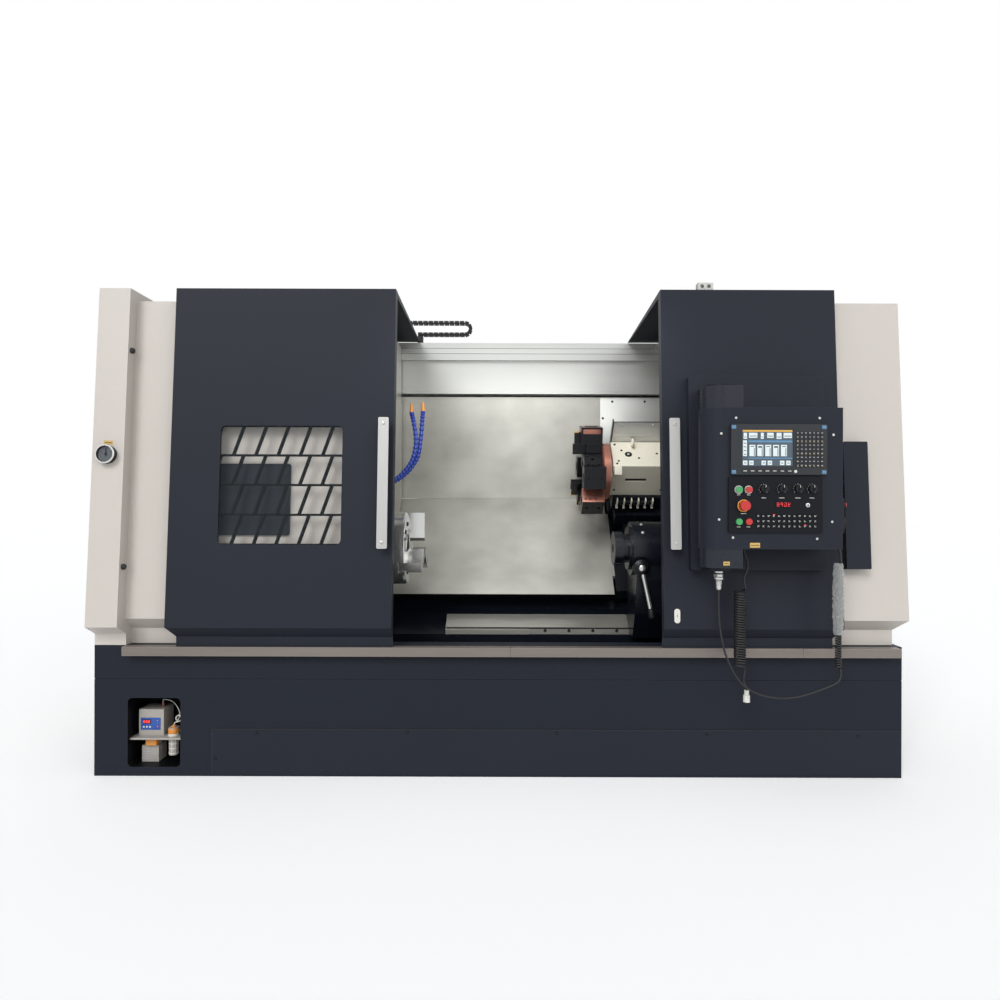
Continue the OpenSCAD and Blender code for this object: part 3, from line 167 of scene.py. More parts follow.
def shader(rgb, rough, metallic=0.0, vary=0.06, grain=40.0, bump=0.0, bump_scale=300.0,
           stretch=(1, 1, 1), coat=0.0, edge=0.0, alpha=1.0, glow=0.0, specular=0.5):
    """A procedural finish: a base colour that varies softly, uneven gloss, fine relief and lighter edges
    (edge wear and a painted highlight).
    """
    mat = bpy.data.materials.new("finish")
    mat.use_nodes = True
    tree = mat.node_tree
    colour = linear(*rgb)[:3]

    def add(kind, inputs=None, **settings):
        return add_node(tree, kind, inputs, **settings)

    def shade(times, more=0.0):
        return [min(1, c * times + more) for c in colour] + [1]
    bsdf = tree.nodes["Principled BSDF"].inputs
    bsdf["Metallic"].default_value = metallic
    bsdf["Specular IOR Level"].default_value = specular
    bsdf["Coat Weight"].default_value = coat
    bsdf["Alpha"].default_value = alpha
    place = add("TexCoord").outputs["Object"]
    mapping = add("Mapping", {"Vector": place, "Scale": stretch}).outputs[0]
    cloud = add("TexNoise", {"Vector": mapping, "Scale": grain, "Detail": 5}).outputs[0]
    broad = add("TexNoise", {"Vector": place, "Scale": 1.7, "Detail": 3}).outputs[0]
    both = add("Math", {0: cloud, 1: broad}, operation="ADD").outputs[0]
    ramp = add("MapRange", {"Value": both, "From Min": 0.6, "From Max": 1.4}).outputs[0]
    tint = add("Mix", {"Factor": ramp, "A": shade(1 - vary), "B": shade(1 + vary)}, data_type="RGBA")
    base = tint.outputs["Result"]
    # Edges lighter in the base colour: partly edge wear, partly a painted highlight where light catches the
    # rounded edge.
    if edge:
        rounded_normal = add("Bevel", {"Radius": 0.004}, samples=4).outputs[0]
        true = add("NewGeometry").outputs["Normal"]
        dot = add("VectorMath", {0: rounded_normal, 1: true}, operation="DOT_PRODUCT").outputs["Value"]
        edge_wear_and_highlight = add("MapRange", {"Value": dot, "From Min": 0.99, "From Max": 0.8, "To Max": edge}).outputs[0]
        lift = add("Mix", {"Factor": edge_wear_and_highlight, "A": base, "B": shade(2.2, 0.03)}, data_type="RGBA")
        base = lift.outputs["Result"]
    tree.links.new(base, bsdf["Base Color"])
    low, high = max(0.02, rough - 0.06), min(1, rough + 0.08)
    gloss = add("MapRange", {"Value": cloud, "To Min": low, "To Max": high})
    tree.links.new(gloss.outputs[0], bsdf["Roughness"])
    if bump:
        fine = add("TexNoise", {"Vector": mapping, "Scale": bump_scale, "Detail": 3}).outputs[0]
        relief = add("Bump", {"Height": fine, "Strength": bump, "Distance": 0.001})
        tree.links.new(relief.outputs[0], bsdf["Normal"])
    if glow:
        tree.links.new(base, bsdf["Emission Color"])
        bsdf["Emission Strength"].default_value = glow
    return mat


BRUSH_X = (0.06, 1, 1)
BRUSH_Z = (1, 1, 0.05)
BLOTCH = (0.8, 1, 1)
NAVY = (32, 36, 45)
PAINT = dict(vary=0.07, grain=220, bump=0.1, bump_scale=900, edge=0.4)
MOULDED = dict(grain=120, bump=0.03, coat=0.3)

# Colour, roughness, metallic, variation, grain, bump, bump's scale and stretch
finish = {
    "navy": shader(NAVY, 0.5, specular=0.18, **PAINT),
    "base": shader(NAVY, 0.5, specular=0.14, **PAINT),
    "door": shader(NAVY, 0.5, specular=0.18, **PAINT),
    "gloss": shader(NAVY, 0.28, 0, 0.07, 60, 0.01, 200, edge=0.6, specular=0.3),
    "cream": shader((204, 197, 189), 0.42, 0, 0.025, 160, 0.05, 700, edge=0.25),
    "rail": shader((124, 116, 110), 0.4, 0.35, 0.1, 90, 0.06, 500, BRUSH_X, edge=0.6),
    "stainless": shader((182, 181, 173), 0.36, 0.45, 0.28, 5.5, 0.06, 420, BLOTCH),
    # A lighter stainless. On the guard sheet it is painted light, brighter than that shaded sheet.
    "bright": shader((194, 195, 191), 0.32, 0.4, 0.05, 14, 0.04, 420, BRUSH_X, edge=0.4),
    "ground": shader((190, 188, 180), 0.3, 0.75, 0.08, 120, 0.06, 700, BRUSH_X, edge=0.4),
    "iron": shader((17, 21, 29), 0.24, 0, 0.1, 30, 0.015, 160, edge=0.35, specular=0.35),
    "chuck": shader((204, 204, 202), 0.18, 0.85, 0.08, 160, 0.02, 500, edge=0.4),
    "turret": shader((240, 235, 217), 0.45, 0, 0.04, 110, 0.08, 500, edge=0.2),
    "bronze": shader((160, 106, 90), 0.34, 0.5, 0.36, 18, 0.1, 300, edge=0.5),
    "blackened": shader((16, 17, 22), 0.3, 0.2, 0.16, 60, 0.1, 400, edge=0.6, specular=0.3),
    "handle": shader((184, 183, 181), 0.32, 0.4, 0.04, 90, 0.05, 600, BRUSH_Z, edge=0.2),
    "display": shader((48, 51, 55), 0.4, 0, 0.08, 260, 0.12, 1400, specular=0.25),
    "panel": shader((18, 20, 26), 0.38, 0, 0.08, 260, 0.08, 1400, specular=0.14),
    "key": shader((74, 77, 82), 0.42, 0, 0.1, 300, 0.06, 1200),
    "black": shader((20, 21, 24), 0.42, 0, 0.12, 200, 0.1, 900, edge=0.4, specular=0.28),
    "rubber": shader((22, 22, 24), 0.5, 0, 0.15, 200, 0.15, 1200),
    "red": shader((196, 38, 36), 0.3, **MOULDED),
    "green": shader((60, 160, 92), 0.3, **MOULDED),
    "amber": shader((232, 150, 48), 0.32, **MOULDED),
    "orange": shader((226, 150, 70), 0.4, grain=120, bump=0.05),
    "white": shader((226, 224, 216), 0.4, 0, 0.03, 140, 0.04),
    "blue": shader((38, 66, 168), 0.36, 0, 0.1, 140, 0.05),
    "tank": shader((172, 167, 160), 0.44, 0, 0.05, 60, 0.05),
    "tag": shader((206, 170, 96), 0.45, grain=200, bump=0.03),
    "film": shader((206, 208, 206), 0.22, 0, 0.1, 80, 0.25, 120, alpha=0.42),
    "tape": shader((96, 134, 168), 0.4, 0, 0.05, 160, 0.04),
    "silver": shader((200, 200, 198), 0.22, 0.85, 0.05, 200, 0.03, 900),
    "zinc": shader((206, 206, 204), 0.28, 0.8, 0.08, 400, 0.04, 900),
    "pane": shader((120, 130, 134), 0.06, 0, 0.02, 4, alpha=0.04, specular=0.14),
    "lattice": shader((11, 12, 15), 0.5, 0, 0.08, 200, 0.08, 800, specular=0.06),
    "dial": shader((84, 88, 94), 0.4, 0, 0.02, 200),
    "lube": shader((176, 180, 184), 0.42, 0, 0.05, 120, 0.06),
    "lube_blue": shader((42, 88, 172), 0.34, grain=120, bump=0.03),
    "lit_red": shader((236, 60, 66), 0.4, 0, 0.04, glow=0.9),
    "lit_white": shader((206, 216, 216), 0.25, 0, 0.03, glow=0.25),
    "lit_slate": shader((70, 84, 96), 0.25, 0, 0.06, glow=0.12),
    "lit_blue": shader((84, 132, 168), 0.25, 0, 0.05, glow=0.15),
    "lit_gold": shader((214, 164, 72), 0.25, 0, 0.05, glow=0.2),
}
for finish_name, made_finish in finish.items():
    made_finish.name = finish_name


def patch(mat, low, high, rgb):
    """Paints the part of a finish that lies inside a box of the machine's frame in another colour."""
    tree = mat.node_tree
    colour_in = tree.nodes["Principled BSDF"].inputs["Base Color"]
    low, high = Vector(low), Vector(high)
    value = add_node(tree, "TexCoord").outputs["Object"]
    steps = (("SUBTRACT", (low + high) / 2), ("ABSOLUTE", (0, 0, 0)), ("DIVIDE", (high - low) / 2))
    for step, amount in steps:
        value = add_node(tree, "VectorMath", {0: value, 1: amount}, operation=step).outputs[0]
    axes = add_node(tree, "SeparateXYZ", {0: value}).outputs
    value = axes["X"]
    for other in ("Y", "Z"):
        value = add_node(tree, "Math", {0: value, 1: axes[other]}, operation="MAXIMUM").outputs[0]
    inside = add_node(tree, "Math", {0: value, 1: 1.0}, operation="LESS_THAN").outputs[0]
    base = colour_in.links[0].from_socket
    mix = add_node(tree, "Mix", {"Factor": inside, "A": base, "B": linear(*rgb)}, data_type="RGBA")
    tree.links.new(mix.outputs["Result"], colour_in)


SHADED_RECESS = ((-1.655, -0.9485, 0.037), (-1.413, -0.74, 0.351))
LUG = ((0.897, -1.1, 2.1855), (0.968, -0.7, 2.24))
# The base frame's recess is painted near black: painted shade inside the recess.
patch(finish["base"], *SHADED_RECESS, (8, 9, 12))
patch(finish["door"], *LUG, (206, 204, 200))

NODE_FINISH = {
    "base": ["base_frame"],
    "door": ["right_door_panel"],
    "gloss": ["pendant_post"],
    "navy": ["kick_panel", "access_cover", "cable_box", "left_door_panel", "pendant_mount", "pendant_box"],
    "bright": ["lintel_beam"],
    "cream": ["left_end_cover", "left_front_panel", "right_end_cover", "rear_cover", "cabinet_door"],
    "rail": ["door_rail"],
    "stainless": ["inner_wall", "way_shield"],
    "ground": ["tailstock_way", "spindle"],
    "iron": ["bed_casting", "headstock", "saddle", "tailstock_body", "quill", "cross_slide"],
    "chuck": ["chuck_body", "jaw_1", "jaw_2", "jaw_3"],
    "turret": ["turret_housing"],
    "bronze": ["turret_disc"],
    "blackened": ["tool_blocks"],
    "handle": ["left_door_handle", "right_door_handle"],
    "display": ["screen_unit"],
    "panel": ["machine_panel"],
    "black": ["gauge_body", "gauge_needle", "mode_knob", "feed_knob", "rapid_knob", "speed_knob",
              "handheld_unit"],
    "red": ["stop_button", "power_off_button", "hold_button"],
    "green": ["power_on_button", "start_button"],
    "tank": ["lubricator"],
    "pane": ["left_door_window"],
    "lattice": ["window_lattice"],
    "white": ["spare_plug"],
}


def dress_nodes():
    for name, dressed in NODE_FINISH.items():
        for node in dressed:
            for slot in nodes[node].material_slots:
                slot.material = finish[name]


# Mesh helpers

def facing(point, normal):
    """A placement at point whose local Z looks along normal."""
    turn = Vector(normal).normalized().to_track_quat("Z", "Y").to_matrix().to_4x4()
    return Matrix.Translation(point) @ turn


def skin(bm, rings, material=0):
    """Faces between rings of vertices that follow each other. A ring of one vertex is a tip."""
    for low, high in zip(rings, rings[1:]):
        for k in range(max(len(low), len(high))):
            corners = [low[k % len(low)], low[(k + 1) % len(low)], high[(k + 1) % len(high)],
                       high[k % len(high)]]
            unique = list(dict.fromkeys(corners))
            if len(unique) > 2:
                bm.faces.new(unique).material_index = material


def lathe(bm, profile, place, segments=24, material=0):
    """Turns a profile of (radius, height) points in millimetres about the local Z of place."""
    rings = []
    for r, h in profile:
        angles = [2 * pi * k / segments for k in range(segments if r else 1)]
        spots = [Vector((r * cos(a), r * sin(a), h)) * MM for a in angles]
        rings.append([bm.verts.new(place @ spot) for spot in spots])
    skin(bm, rings, material)


def turned(place, angle, axis="Z"):
    """A placement turned about one of its own axes by degrees."""
    return place @ Matrix.Rotation(radians(angle), 4, axis)


def moved(place, x, y, z=0.0):
    """A placement moved along its own axes by millimetres."""
    return place @ Matrix.Translation(Vector((x, y, z)) * MM)


def axes_frame(point, up, out):
    """A placement whose local X runs along the machine, with Y along up and Z along out."""
    return Matrix.Translation(point) @ Matrix((Vector((1, 0, 0)), up, out)).transposed().to_4x4()


def block(bm, low, high, place=None, bevel=0.001, material=0, segments=2):
    """A box with rounded edges between two corners, placed by a matrix."""
    part = bmesh.new()
    low, high = Vector(low), Vector(high)
    size, middle = high - low, (high + low) / 2
    bmesh.ops.create_cube(part, size=1, matrix=Matrix.Translation(middle) @ Matrix.Diagonal((*size, 1)))
    bevel = min(bevel, min(size) * 0.45)
    bmesh.ops.bevel(part, geom=part.edges[:], offset=bevel, segments=segments, profile=0.6, affect="EDGES")
    for f in part.faces:
        f.material_index = material
    if place is not None:
        part.transform(place)
    mesh = bpy.data.meshes.new("part")
    part.to_mesh(mesh)
    part.free()
    bm.from_mesh(mesh)
    bpy.data.meshes.remove(mesh)


def detail(bm, place, low, high, bevel, material=0):
    """A rounded box in a placement, with its corners and bevel in millimetres."""
    block(bm, Vector(low) * MM, Vector(high) * MM, place, bevel * MM, material)


def piece(name, bm, finishes, body, smooth=True):
    """Makes an object of a bmesh, with its finishes, riding on a body."""
    bmesh.ops.recalc_face_normals(bm, faces=bm.faces[:])
    mesh = bpy.data.meshes.new(name)
    bm.to_mesh(mesh)
    bm.free()
    for f in finishes:
        mesh.materials.append(finish[f])
    obj = bpy.data.objects.new(name, mesh)
    bpy.context.collection.objects.link(obj)
    if smooth:
        mesh.shade_smooth()
        mesh.set_sharp_from_angle(angle=radians(35))
    if body:
        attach(obj, body)
    return obj


def screw(bm, point, normal, r, material=0):
    """A socket-head screw that stands on a surface, with its radius in millimetres."""
    place = facing(point, normal)
    lathe(bm, [(r, -0.4), (r, r * 0.35), (r * 0.86, r * 0.55), (r * 0.55, r * 0.62)], place, 16, material)
    lathe(bm, [(r * 0.55, r * 0.62), (r * 0.5, r * 0.25), (0, r * 0.22)], place, 6, material)


def bolt(bm, place, r, rim, wall, top, socket, foot):
    """A cap screw in millimetres: a wall, a bevel in to the rim, and a hexagon socket down to its foot."""
    lathe(bm, [(r, -0.4), (r, wall), (rim, top), (socket, top)], place, 24)
    lathe(bm, [(socket, top), (socket - 0.6, foot), (0, foot)], place, 6)


def screws(name, places, r, finish_name, body):
    bm = bmesh.new()
    for point, normal in places:
        screw(bm, point, normal, r)
    return piece(name, bm, [finish_name], body)


# The leaning front: places up the door from its foot, and out of it

FACE = Vector((0, -1, 0))
UP = Vector((0, 0, 1))
RIGHT = Vector((1, 0, 0))
DOOR_FOOT = Vector((0, -1.03, 0.675))
LEAN = atan2(0.112, 1.51)
DOOR_OUT = Vector((0, -cos(LEAN), sin(LEAN)))
DOOR_UP = Vector((0, sin(LEAN), cos(LEAN)))


def on_door(x, up, out=0.0):
    return RIGHT * x + DOOR_FOOT + DOOR_UP * up + DOOR_OUT * out


def door_frame(x, up):
    return axes_frame(on_door(x, up), DOOR_UP, DOOR_OUT)


def front_frame(x, y, z):
    return axes_frame((x, y, z), UP, FACE)


# Cords of the pendant, along the routes of the CAD model

HANDSET_ROUTE = [
    (924, -1155, 860.7), (924, -1155, 800), (926, -1156, 740), (932, -1158, 680), (944, -1160, 620),
    (962, -1161, 566), (988, -1162, 512), (1020, -1162, 470), (1060, -1162, 440), (1105, -1162, 422),
    (1155, -1162, 412), (1205, -1162, 410), (1255, -1162, 416), (1305, -1162, 430), (1350, -1162, 446),
    (1390, -1162, 462), (1414, -1162, 478), (1422, -1162, 500), (1422, -1162, 522)]
HANDSET_LEAD = [(1422, -1162, 976), (1422, -1161, 1000), (1421, -1159, 1030), (1418, -1156, 1058),
                (1417, -1155, 1080), (1417, -1155, 1098.7)]
SPARE_ROUTE = [(1044, -1115, 1035.7), (1044, -1115, 1012), (1054, -1115, 986), (1059, -1115, 960),
               (1054, -1115, 936), (1042, -1115, 918), (1030, -1115, 900), (1026, -1115, 880),
               (1026, -1115, 864)]
SPARE_TAIL = [(1026, -1115, 522), (1026, -1115, 506), (1030, -1115, 488), (1038, -1115, 470),
              (1047, -1115, 456), (1055, -1115, 444), (1055, -1115, 432)]
CORD_R = 0.0042
HANDSET_COIL = 0.0095
SPARE_COIL = 0.022


def coil(start, end, r, pitch, ease=3.0):
    """Points of an upright helix from start to end, with its axis r beside them and its ends upright."""
    tall = abs(end.z - start.z)
    fine = 6000
    eased = ease * pitch / tall
    rates = []
    for k in range(fine + 1):
        e = min(1.0, k / fine / eased, (1 - k / fine) / eased)
        rates.append(e * e * (3 - 2 * e))
    share = sum(rates) / fine
    turns = round(tall / pitch * share)
    points, angle, last_angle, last_k = [], 0.0, 0.0, 0
    for k in range(fine + 1):
        far = angle - last_angle > 2 * pi / 18 or (k - last_k) * tall / fine > 0.0015
        if k in (0, fine) or far:
            out = Vector((cos(angle) - 1, sin(angle), 0)) * r
            points.append(start.lerp(end, k / fine) + out)
            last_angle, last_k = angle, k
        angle += 2 * pi * turns * rates[k] / (share * fine)
    return points


def beside(points, r, shares):
    """Points whose last ones lean over by shares of r, so that the line meets the rim of a coil."""
    leaned = list(points)
    for k, share in enumerate(shares):
        leaned[-1 - k] = leaned[-1 - k] + Vector((r * share, 0, 0))
    return leaned


def smooth_path(points, steps=6):
    """A Catmull-Rom line through the points."""
    line = []
    for i in range(len(points) - 1):
        p0, p1 = points[max(i - 1, 0)], points[i]
        p2, p3 = points[i + 1], points[min(i + 2, len(points) - 1)]
        for k in range(steps):
            t = k / steps
            line.append(0.5 * ((2 * p1) + (p2 - p0) * t + (2 * p0 - 5 * p1 + 4 * p2 - p3) * t ** 2
                               + (3 * p1 - p0 - 3 * p2 + p3) * t ** 3))
    return line + [points[-1]]


def cord_piece(name, line, r, replaced):
    curve = bpy.data.curves.new(name, "CURVE")
    curve.dimensions = "3D"
    curve.bevel_depth = r
    curve.bevel_resolution = 3
    curve.use_fill_caps = True
    spline = curve.splines.new("POLY")
    spline.points.add(len(line) - 1)
    for p, q in zip(spline.points, line):
        p.co = (*q, 1)
    curve.materials.append(finish["rubber"])
    obj = bpy.data.objects.new(name, curve)
    bpy.context.collection.objects.link(obj)
    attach(obj, "pendant")
    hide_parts(*replaced)


def film_wrap(name, x, y, z0, z1, r, seed):
    """Crumpled packing film wound about a coil."""
    rng = random.Random(seed)
    bm = bmesh.new()
    rows, cols = 34, 22
    rings = []
    for i in range(rows + 1):
        t = i / rows
        swell = 0.72 + 0.28 * sin(t * pi) ** 0.5
        ring = []
        for k in range(cols):
            a = 2 * pi * k / cols + 0.6 * t
            rr = r * swell * rng.uniform(0.8, 1.0)
            ring.append(bm.verts.new((x + rr * cos(a), y + rr * sin(a), z0 + (z1 - z0) * t)))
        rings.append(ring)
    skin(bm, rings)
    return piece(name, bm, ["film"], "pendant", smooth=False)


def make_cords():
    def metres(points):
        return [Vector(p) * MM for p in points]
    route, lead = metres(HANDSET_ROUTE), metres(HANDSET_LEAD)
    film = film_wrap("handset_film", 1.422, -1.162, 0.676, 0.974, 0.0255, 3)
    over = (1, 0.95, 0.6, 0.2)
    route = beside(route, HANDSET_COIL, over)
    lead = beside(lead[::-1], HANDSET_COIL, over)[::-1]
    line = smooth_path(route)[:-1] + coil(route[-1], lead[0], HANDSET_COIL, 0.0098) + smooth_path(lead)[1:]
    cord_piece("handset_lead", line, CORD_R, ["handset_cord", "handset_curl"])
    spare, tail = metres(SPARE_ROUTE), metres(SPARE_TAIL)
    spare = beside(spare, SPARE_COIL, over)
    tail = beside(tail[::-1], SPARE_COIL, over)[::-1]
    line = smooth_path(spare)[:-1] + coil(spare[-1], tail[0], SPARE_COIL, 0.0105) + smooth_path(tail)[1:]
    cord_piece("spare_lead", line, CORD_R, ["spare_cord", "spare_curl"])


# Pendant

PENDANT_Y = -1.24
PANEL_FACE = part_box("machine_panel")[0][1] + 0.002
PANEL_KEYS = PANEL_FACE - 0.0019
SCREEN_FACE = -1.254
SCREEN_KEYS = SCREEN_FACE - 0.0029
SCREEN_FLOOR = -1.25
TAPE_TILT = degrees(0.06)
KNOBS = ("mode_knob", "feed_knob", "rapid_knob", "speed_knob")


def middle(node):
    """Middle of a node's box seen from the front, its half width in millimetres, and its front."""
    low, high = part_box(node)
    return (low[0] + high[0]) / 2, (low[2] + high[2]) / 2, (high[0] - low[0]) / 2 / MM, low[1]


def tile(bm, x0, z0, x1, z1, front, back, bevel=0.0001, material=0, segments=2):
    """A thin tile that faces the front between two depths. Its corners are in millimetres."""
    block(bm, (x0 * MM, front, z0 * MM), (x1 * MM, back, z1 * MM), None, bevel, material, segments)


def panel_key(i, k):
    """Middle of a key of the operator panel in millimetres, seen from the front."""
    return 1057.5 + 21 * i, 1131.5 + 21 * k


def make_pendant():
    heads = [(968, 1570), (1308, 1570), (908, 1506), (1364, 1502), (900, 1156), (1360, 1148), (957, 1083),
             (1299, 1079)]
    screws("pendant_screws", [((x * MM, PENDANT_Y, z * MM), FACE) for x, z in heads], 5.5, "zinc", "pendant")
    bm = bmesh.new()
    for x, y, z, w, h in ((1.047, PENDANT_Y, 1.052, 41, 20), (0.933, -1.236, 0.977, 26, 16)):
        at = front_frame(x, y, z)
        detail(bm, at, (-w / 2, -h / 2, -0.4), (w / 2, h / 2, 0.8), 0.4)
        detail(bm, at, (4 - w / 2, -1.2, 0.6), (w / 2 - 4, 1.2, 1.1), 0.3, 1)
        for side in (-1, 1):
            lathe(bm, [(1.2, 0.6), (1, 1.4), (0, 1.6)], moved(at, side * (w / 2 - 2), 0), 10, 2)
    piece("pendant_tags", bm, ["tag", "black", "zinc"], "pendant")
    bm = bmesh.new()
    at = Matrix.Translation((0.924, -1.155, 0))
    profile = [(8.5, 861.5)]
    rib = ((9.8, 0), (11.2, 1), (11.2, 3.5), (9.8, 4.5))
    for k in range(7):
        profile += [(r + k * 0.5, 864 + k * 5.5 + z) for r, z in rib]
    lathe(bm, profile + [(19.5, 906), (19.5, 913), (17.2, 915)], at, 28)
    lathe(bm, [(17.2, 915.5), (20.5, 917), (20.5, 926), (17.2, 928)], at, 6)
    lathe(bm, [(17.2, 932), (18.8, 933), (18.8, 939), (17.2, 940)], at, 28)
    piece("post_gland", bm, ["zinc"], "pendant")


def make_screen():
    bm = bmesh.new()

    def lit(x0, z0, x1, z1, material, lift=1):
        tile(bm, x0, z0, x1, z1, SCREEN_FLOOR - 0.0003 * lift, SCREEN_FLOOR + 0.0002, 0.0001, material, 1)
    lit(991, 1374, 1196, 1522, 0)
    lit(993, 1513, 1194, 1520, 1, 2)
    spans = ((996, 1010), (1018, 1052), (1066, 1078), (1092, 1118), (1130, 1150), (1158, 1192))
    for k, (x0, x1) in enumerate(spans):
        lit(x0, 1484 + 4 * (k % 2), x1, 1509, 2, 2)
        lit(x0 + 3, 1490 + 4 * (k % 2), x1 - 3, 1493 + 4 * (k % 2), 0, 3)
    lit(1016, 1470, 1194, 1478, 3, 2)
    lit(1016, 1404, 1194, 1408, 3, 2)
    for k in range(5):
        lit(1020 + k * 32, 1414, 1044 + k * 32, 1460, 2, 2)
        lit(1024 + k * 32, 1452 - 4 * (k % 2), 1040 + k * 32, 1455, 0, 3)
        lit(1038 + k * 32, 1416, 1041 + k * 32, 1446, 0, 3)
    for k in range(8):
        if k % 3 != 2:
            lit(994 + k * 25, 1378, 1012 + k * 25, 1396, 2, 2)
            lit(998 + k * 25, 1385, 1008 + k * 25, 1388, 0, 3)
    lit(994, 1414, 1010, 1478, 2, 2)
    for k in range(4):
        lit(997, 1420 + k * 15, 1007, 1423 + k * 15, 0, 3)
    piece("screen_picture", bm, ["lit_slate", "lit_gold", "lit_white", "lit_blue"], "pendant")
    bm = bmesh.new()
    for x, z in ((956, 1532), (1322, 1532), (956, 1350), (1322, 1350)):
        at = turned(front_frame(x * MM, SCREEN_FACE, z * MM), -TAPE_TILT if x > 1000 else TAPE_TILT)
        detail(bm, at, (-9, -7, -0.2), (9, 7, 0.5), 0.2)
        detail(bm, at, (-8.6, -1.6, 0.3), (8.6, 1.6, 0.7), 0.2)
    piece("screen_tape", bm, ["tape"], "pendant")
    bm = bmesh.new()
    lathe(bm, [(6.2, -0.3), (6.2, 1.2), (4.8, 2.2), (0, 2.6)], front_frame(1.206, SCREEN_FACE, 1.352), 20)
    piece("screen_cap", bm, ["white"], "pendant")
    bm = bmesh.new()

    def mark(x0, z0, x1, z1, material=0):
        tile(bm, x0, z0, x1, z1, SCREEN_KEYS - 0.0005, SCREEN_KEYS, material=material)
    for k in range(7):
        mark(994 + k * 30, 1352.4, 1008 + k * 30, 1355)
    for i in range(7):
        for k in range(9):
            x, z = 1213.5 + i * 16.4, 1375.5 + k * 16.4
            w = 3.4 if (i * 5 + k * 3) % 4 else 2.2
            mark(x - w, z + 0.6, x + w, z + 2.4)
            if k % 3 == 0:
                mark(x - 1.6, z - 3.4, x + 3.6, z - 2, 1)
    piece("key_marks", bm, ["white", "tag"], "pendant")


SEGMENTS = [((-1, 2), (1, 2)), ((-1, 0), (1, 0)), ((-1, -2), (1, -2)), ((-1, 0), (-1, 2)), ((1, 0), (1, 2)),
            ((-1, -2), (-1, 0)), ((1, -2), (1, 0))]


def make_panel():
    bm = bmesh.new()
    for node in ("power_on_button", "power_off_button", "start_button", "hold_button"):
        x, z, r, _ = middle(node)
        upper = z > 1.2
        lathe(bm, [(r * 1.3, -0.3), (r * 1.3, 1.6), (r * 1.22, 2.6), (r * 1.06, 2.6), (r * 1.04, 0)],
              front_frame(x, PANEL_FACE, z), 32, 0 if upper else 1)
    x, z, r, _ = middle("stop_button")
    lathe(bm, [(r * 1.25, -0.3), (r * 1.25, 1), (r * 1.18, 1.8), (r * 1.06, 1.8), (r * 1.04, 0)],
          front_frame(x, PANEL_FACE, z), 40, 2)
    piece("button_rings", bm, ["zinc", "black", "amber"], "pendant")
    bm = bmesh.new()
    for node in KNOBS:
        x, z, r, _ = middle(node)
        for k in range(11):
            turn = turned(front_frame(x, PANEL_FACE, z), 135 - 27 * k)
            long = 4.6 if k % 5 == 0 else 3
            detail(bm, turn, (-0.5, r + 2, -0.2), (0.5, r + 2 + long, 0.4), 0.1)
    piece("knob_scales", bm, ["white"], "pendant")
    for node in KNOBS:
        x, z, r, y = middle(node)
        bm = bmesh.new()
        at = front_frame(x, y, z)
        detail(bm, at, (-0.8, r * 0.15, -0.3), (0.8, r * 0.92, 0.6), 0.3)
        lathe(bm, [(r * 0.34, -0.2), (r * 0.34, 0.5), (r * 0.28, 0.9), (0, 0.9)], at, 24, 1)
        piece(node + "_mark", bm, ["white", "panel"], node.split("_")[0])
    bm = bmesh.new()
    for k, lit in enumerate((0b1111111, 0b1011011, 0b1110101, 0b0111110)):
        at = front_frame(1.137 + 0.0148 * k, PANEL_FACE - 0.002, 1.218)
        for bit, (a, b) in enumerate(SEGMENTS):
            if lit >> bit & 1:
                x0, x1 = sorted((a[0], b[0]))
                z0, z1 = sorted((a[1], b[1]))
                detail(bm, at, (x0 * 3.6 - 0.6, z0 * 3.6 - 0.6, -0.2), (x1 * 3.6 + 0.6, z1 * 3.6 + 0.6, 0.4),
                       0.2)
    for i, k in ((3, 2), (9, 0)):
        x, z = panel_key(i, k)
        tile(bm, x - 4, z + 2, x + 4, z + 5, PANEL_KEYS - 0.0007, PANEL_KEYS, 0.0003)
    piece("panel_lights", bm, ["lit_red"], "pendant")
    bm = bmesh.new()
    for i in range(12):
        for k in range(3):
            x, z = panel_key(i, k)
            form = (i * 7 + k * 5) % 3
            tile(bm, x - 4.4, z - 1.2, x + 4.4 - 2.2 * form, z + 0.4, PANEL_KEYS - 0.0005, PANEL_KEYS)
            tile(bm, x - 4.4, z - 4.6, x + 1.4 + 1.2 * form, z - 3.4, PANEL_KEYS - 0.0005, PANEL_KEYS)
    for x, z, w in ((1079, 1245, 18), (1153, 1245, 22), (1218, 1245, 22), (1275, 1245, 20), (978, 1257, 14),
                    (1018, 1257, 14), (998, 1181, 22), (978, 1127, 14), (1018, 1127, 14)):
        tile(bm, x - w / 2, z - 1, x + w / 2, z + 1, PANEL_FACE - 0.0004, PANEL_FACE + 0.0002)
    piece("panel_marks", bm, ["white"], "pendant")
    bm = bmesh.new()
    at = front_frame(1.258, PANEL_FACE, 1.216)
    lathe(bm, [(8.5, -0.3), (8.5, 2), (7, 2.6), (5.2, 2.6), (4.5, 5), (3, 5.5)], at, 24)
    lathe(bm, [(2.2, 4), (3, 14.5), (2.6, 16.5), (0, 17.2)], turned(at, 18, "X"), 16)
    piece("panel_toggle", bm, ["zinc"], "pendant")


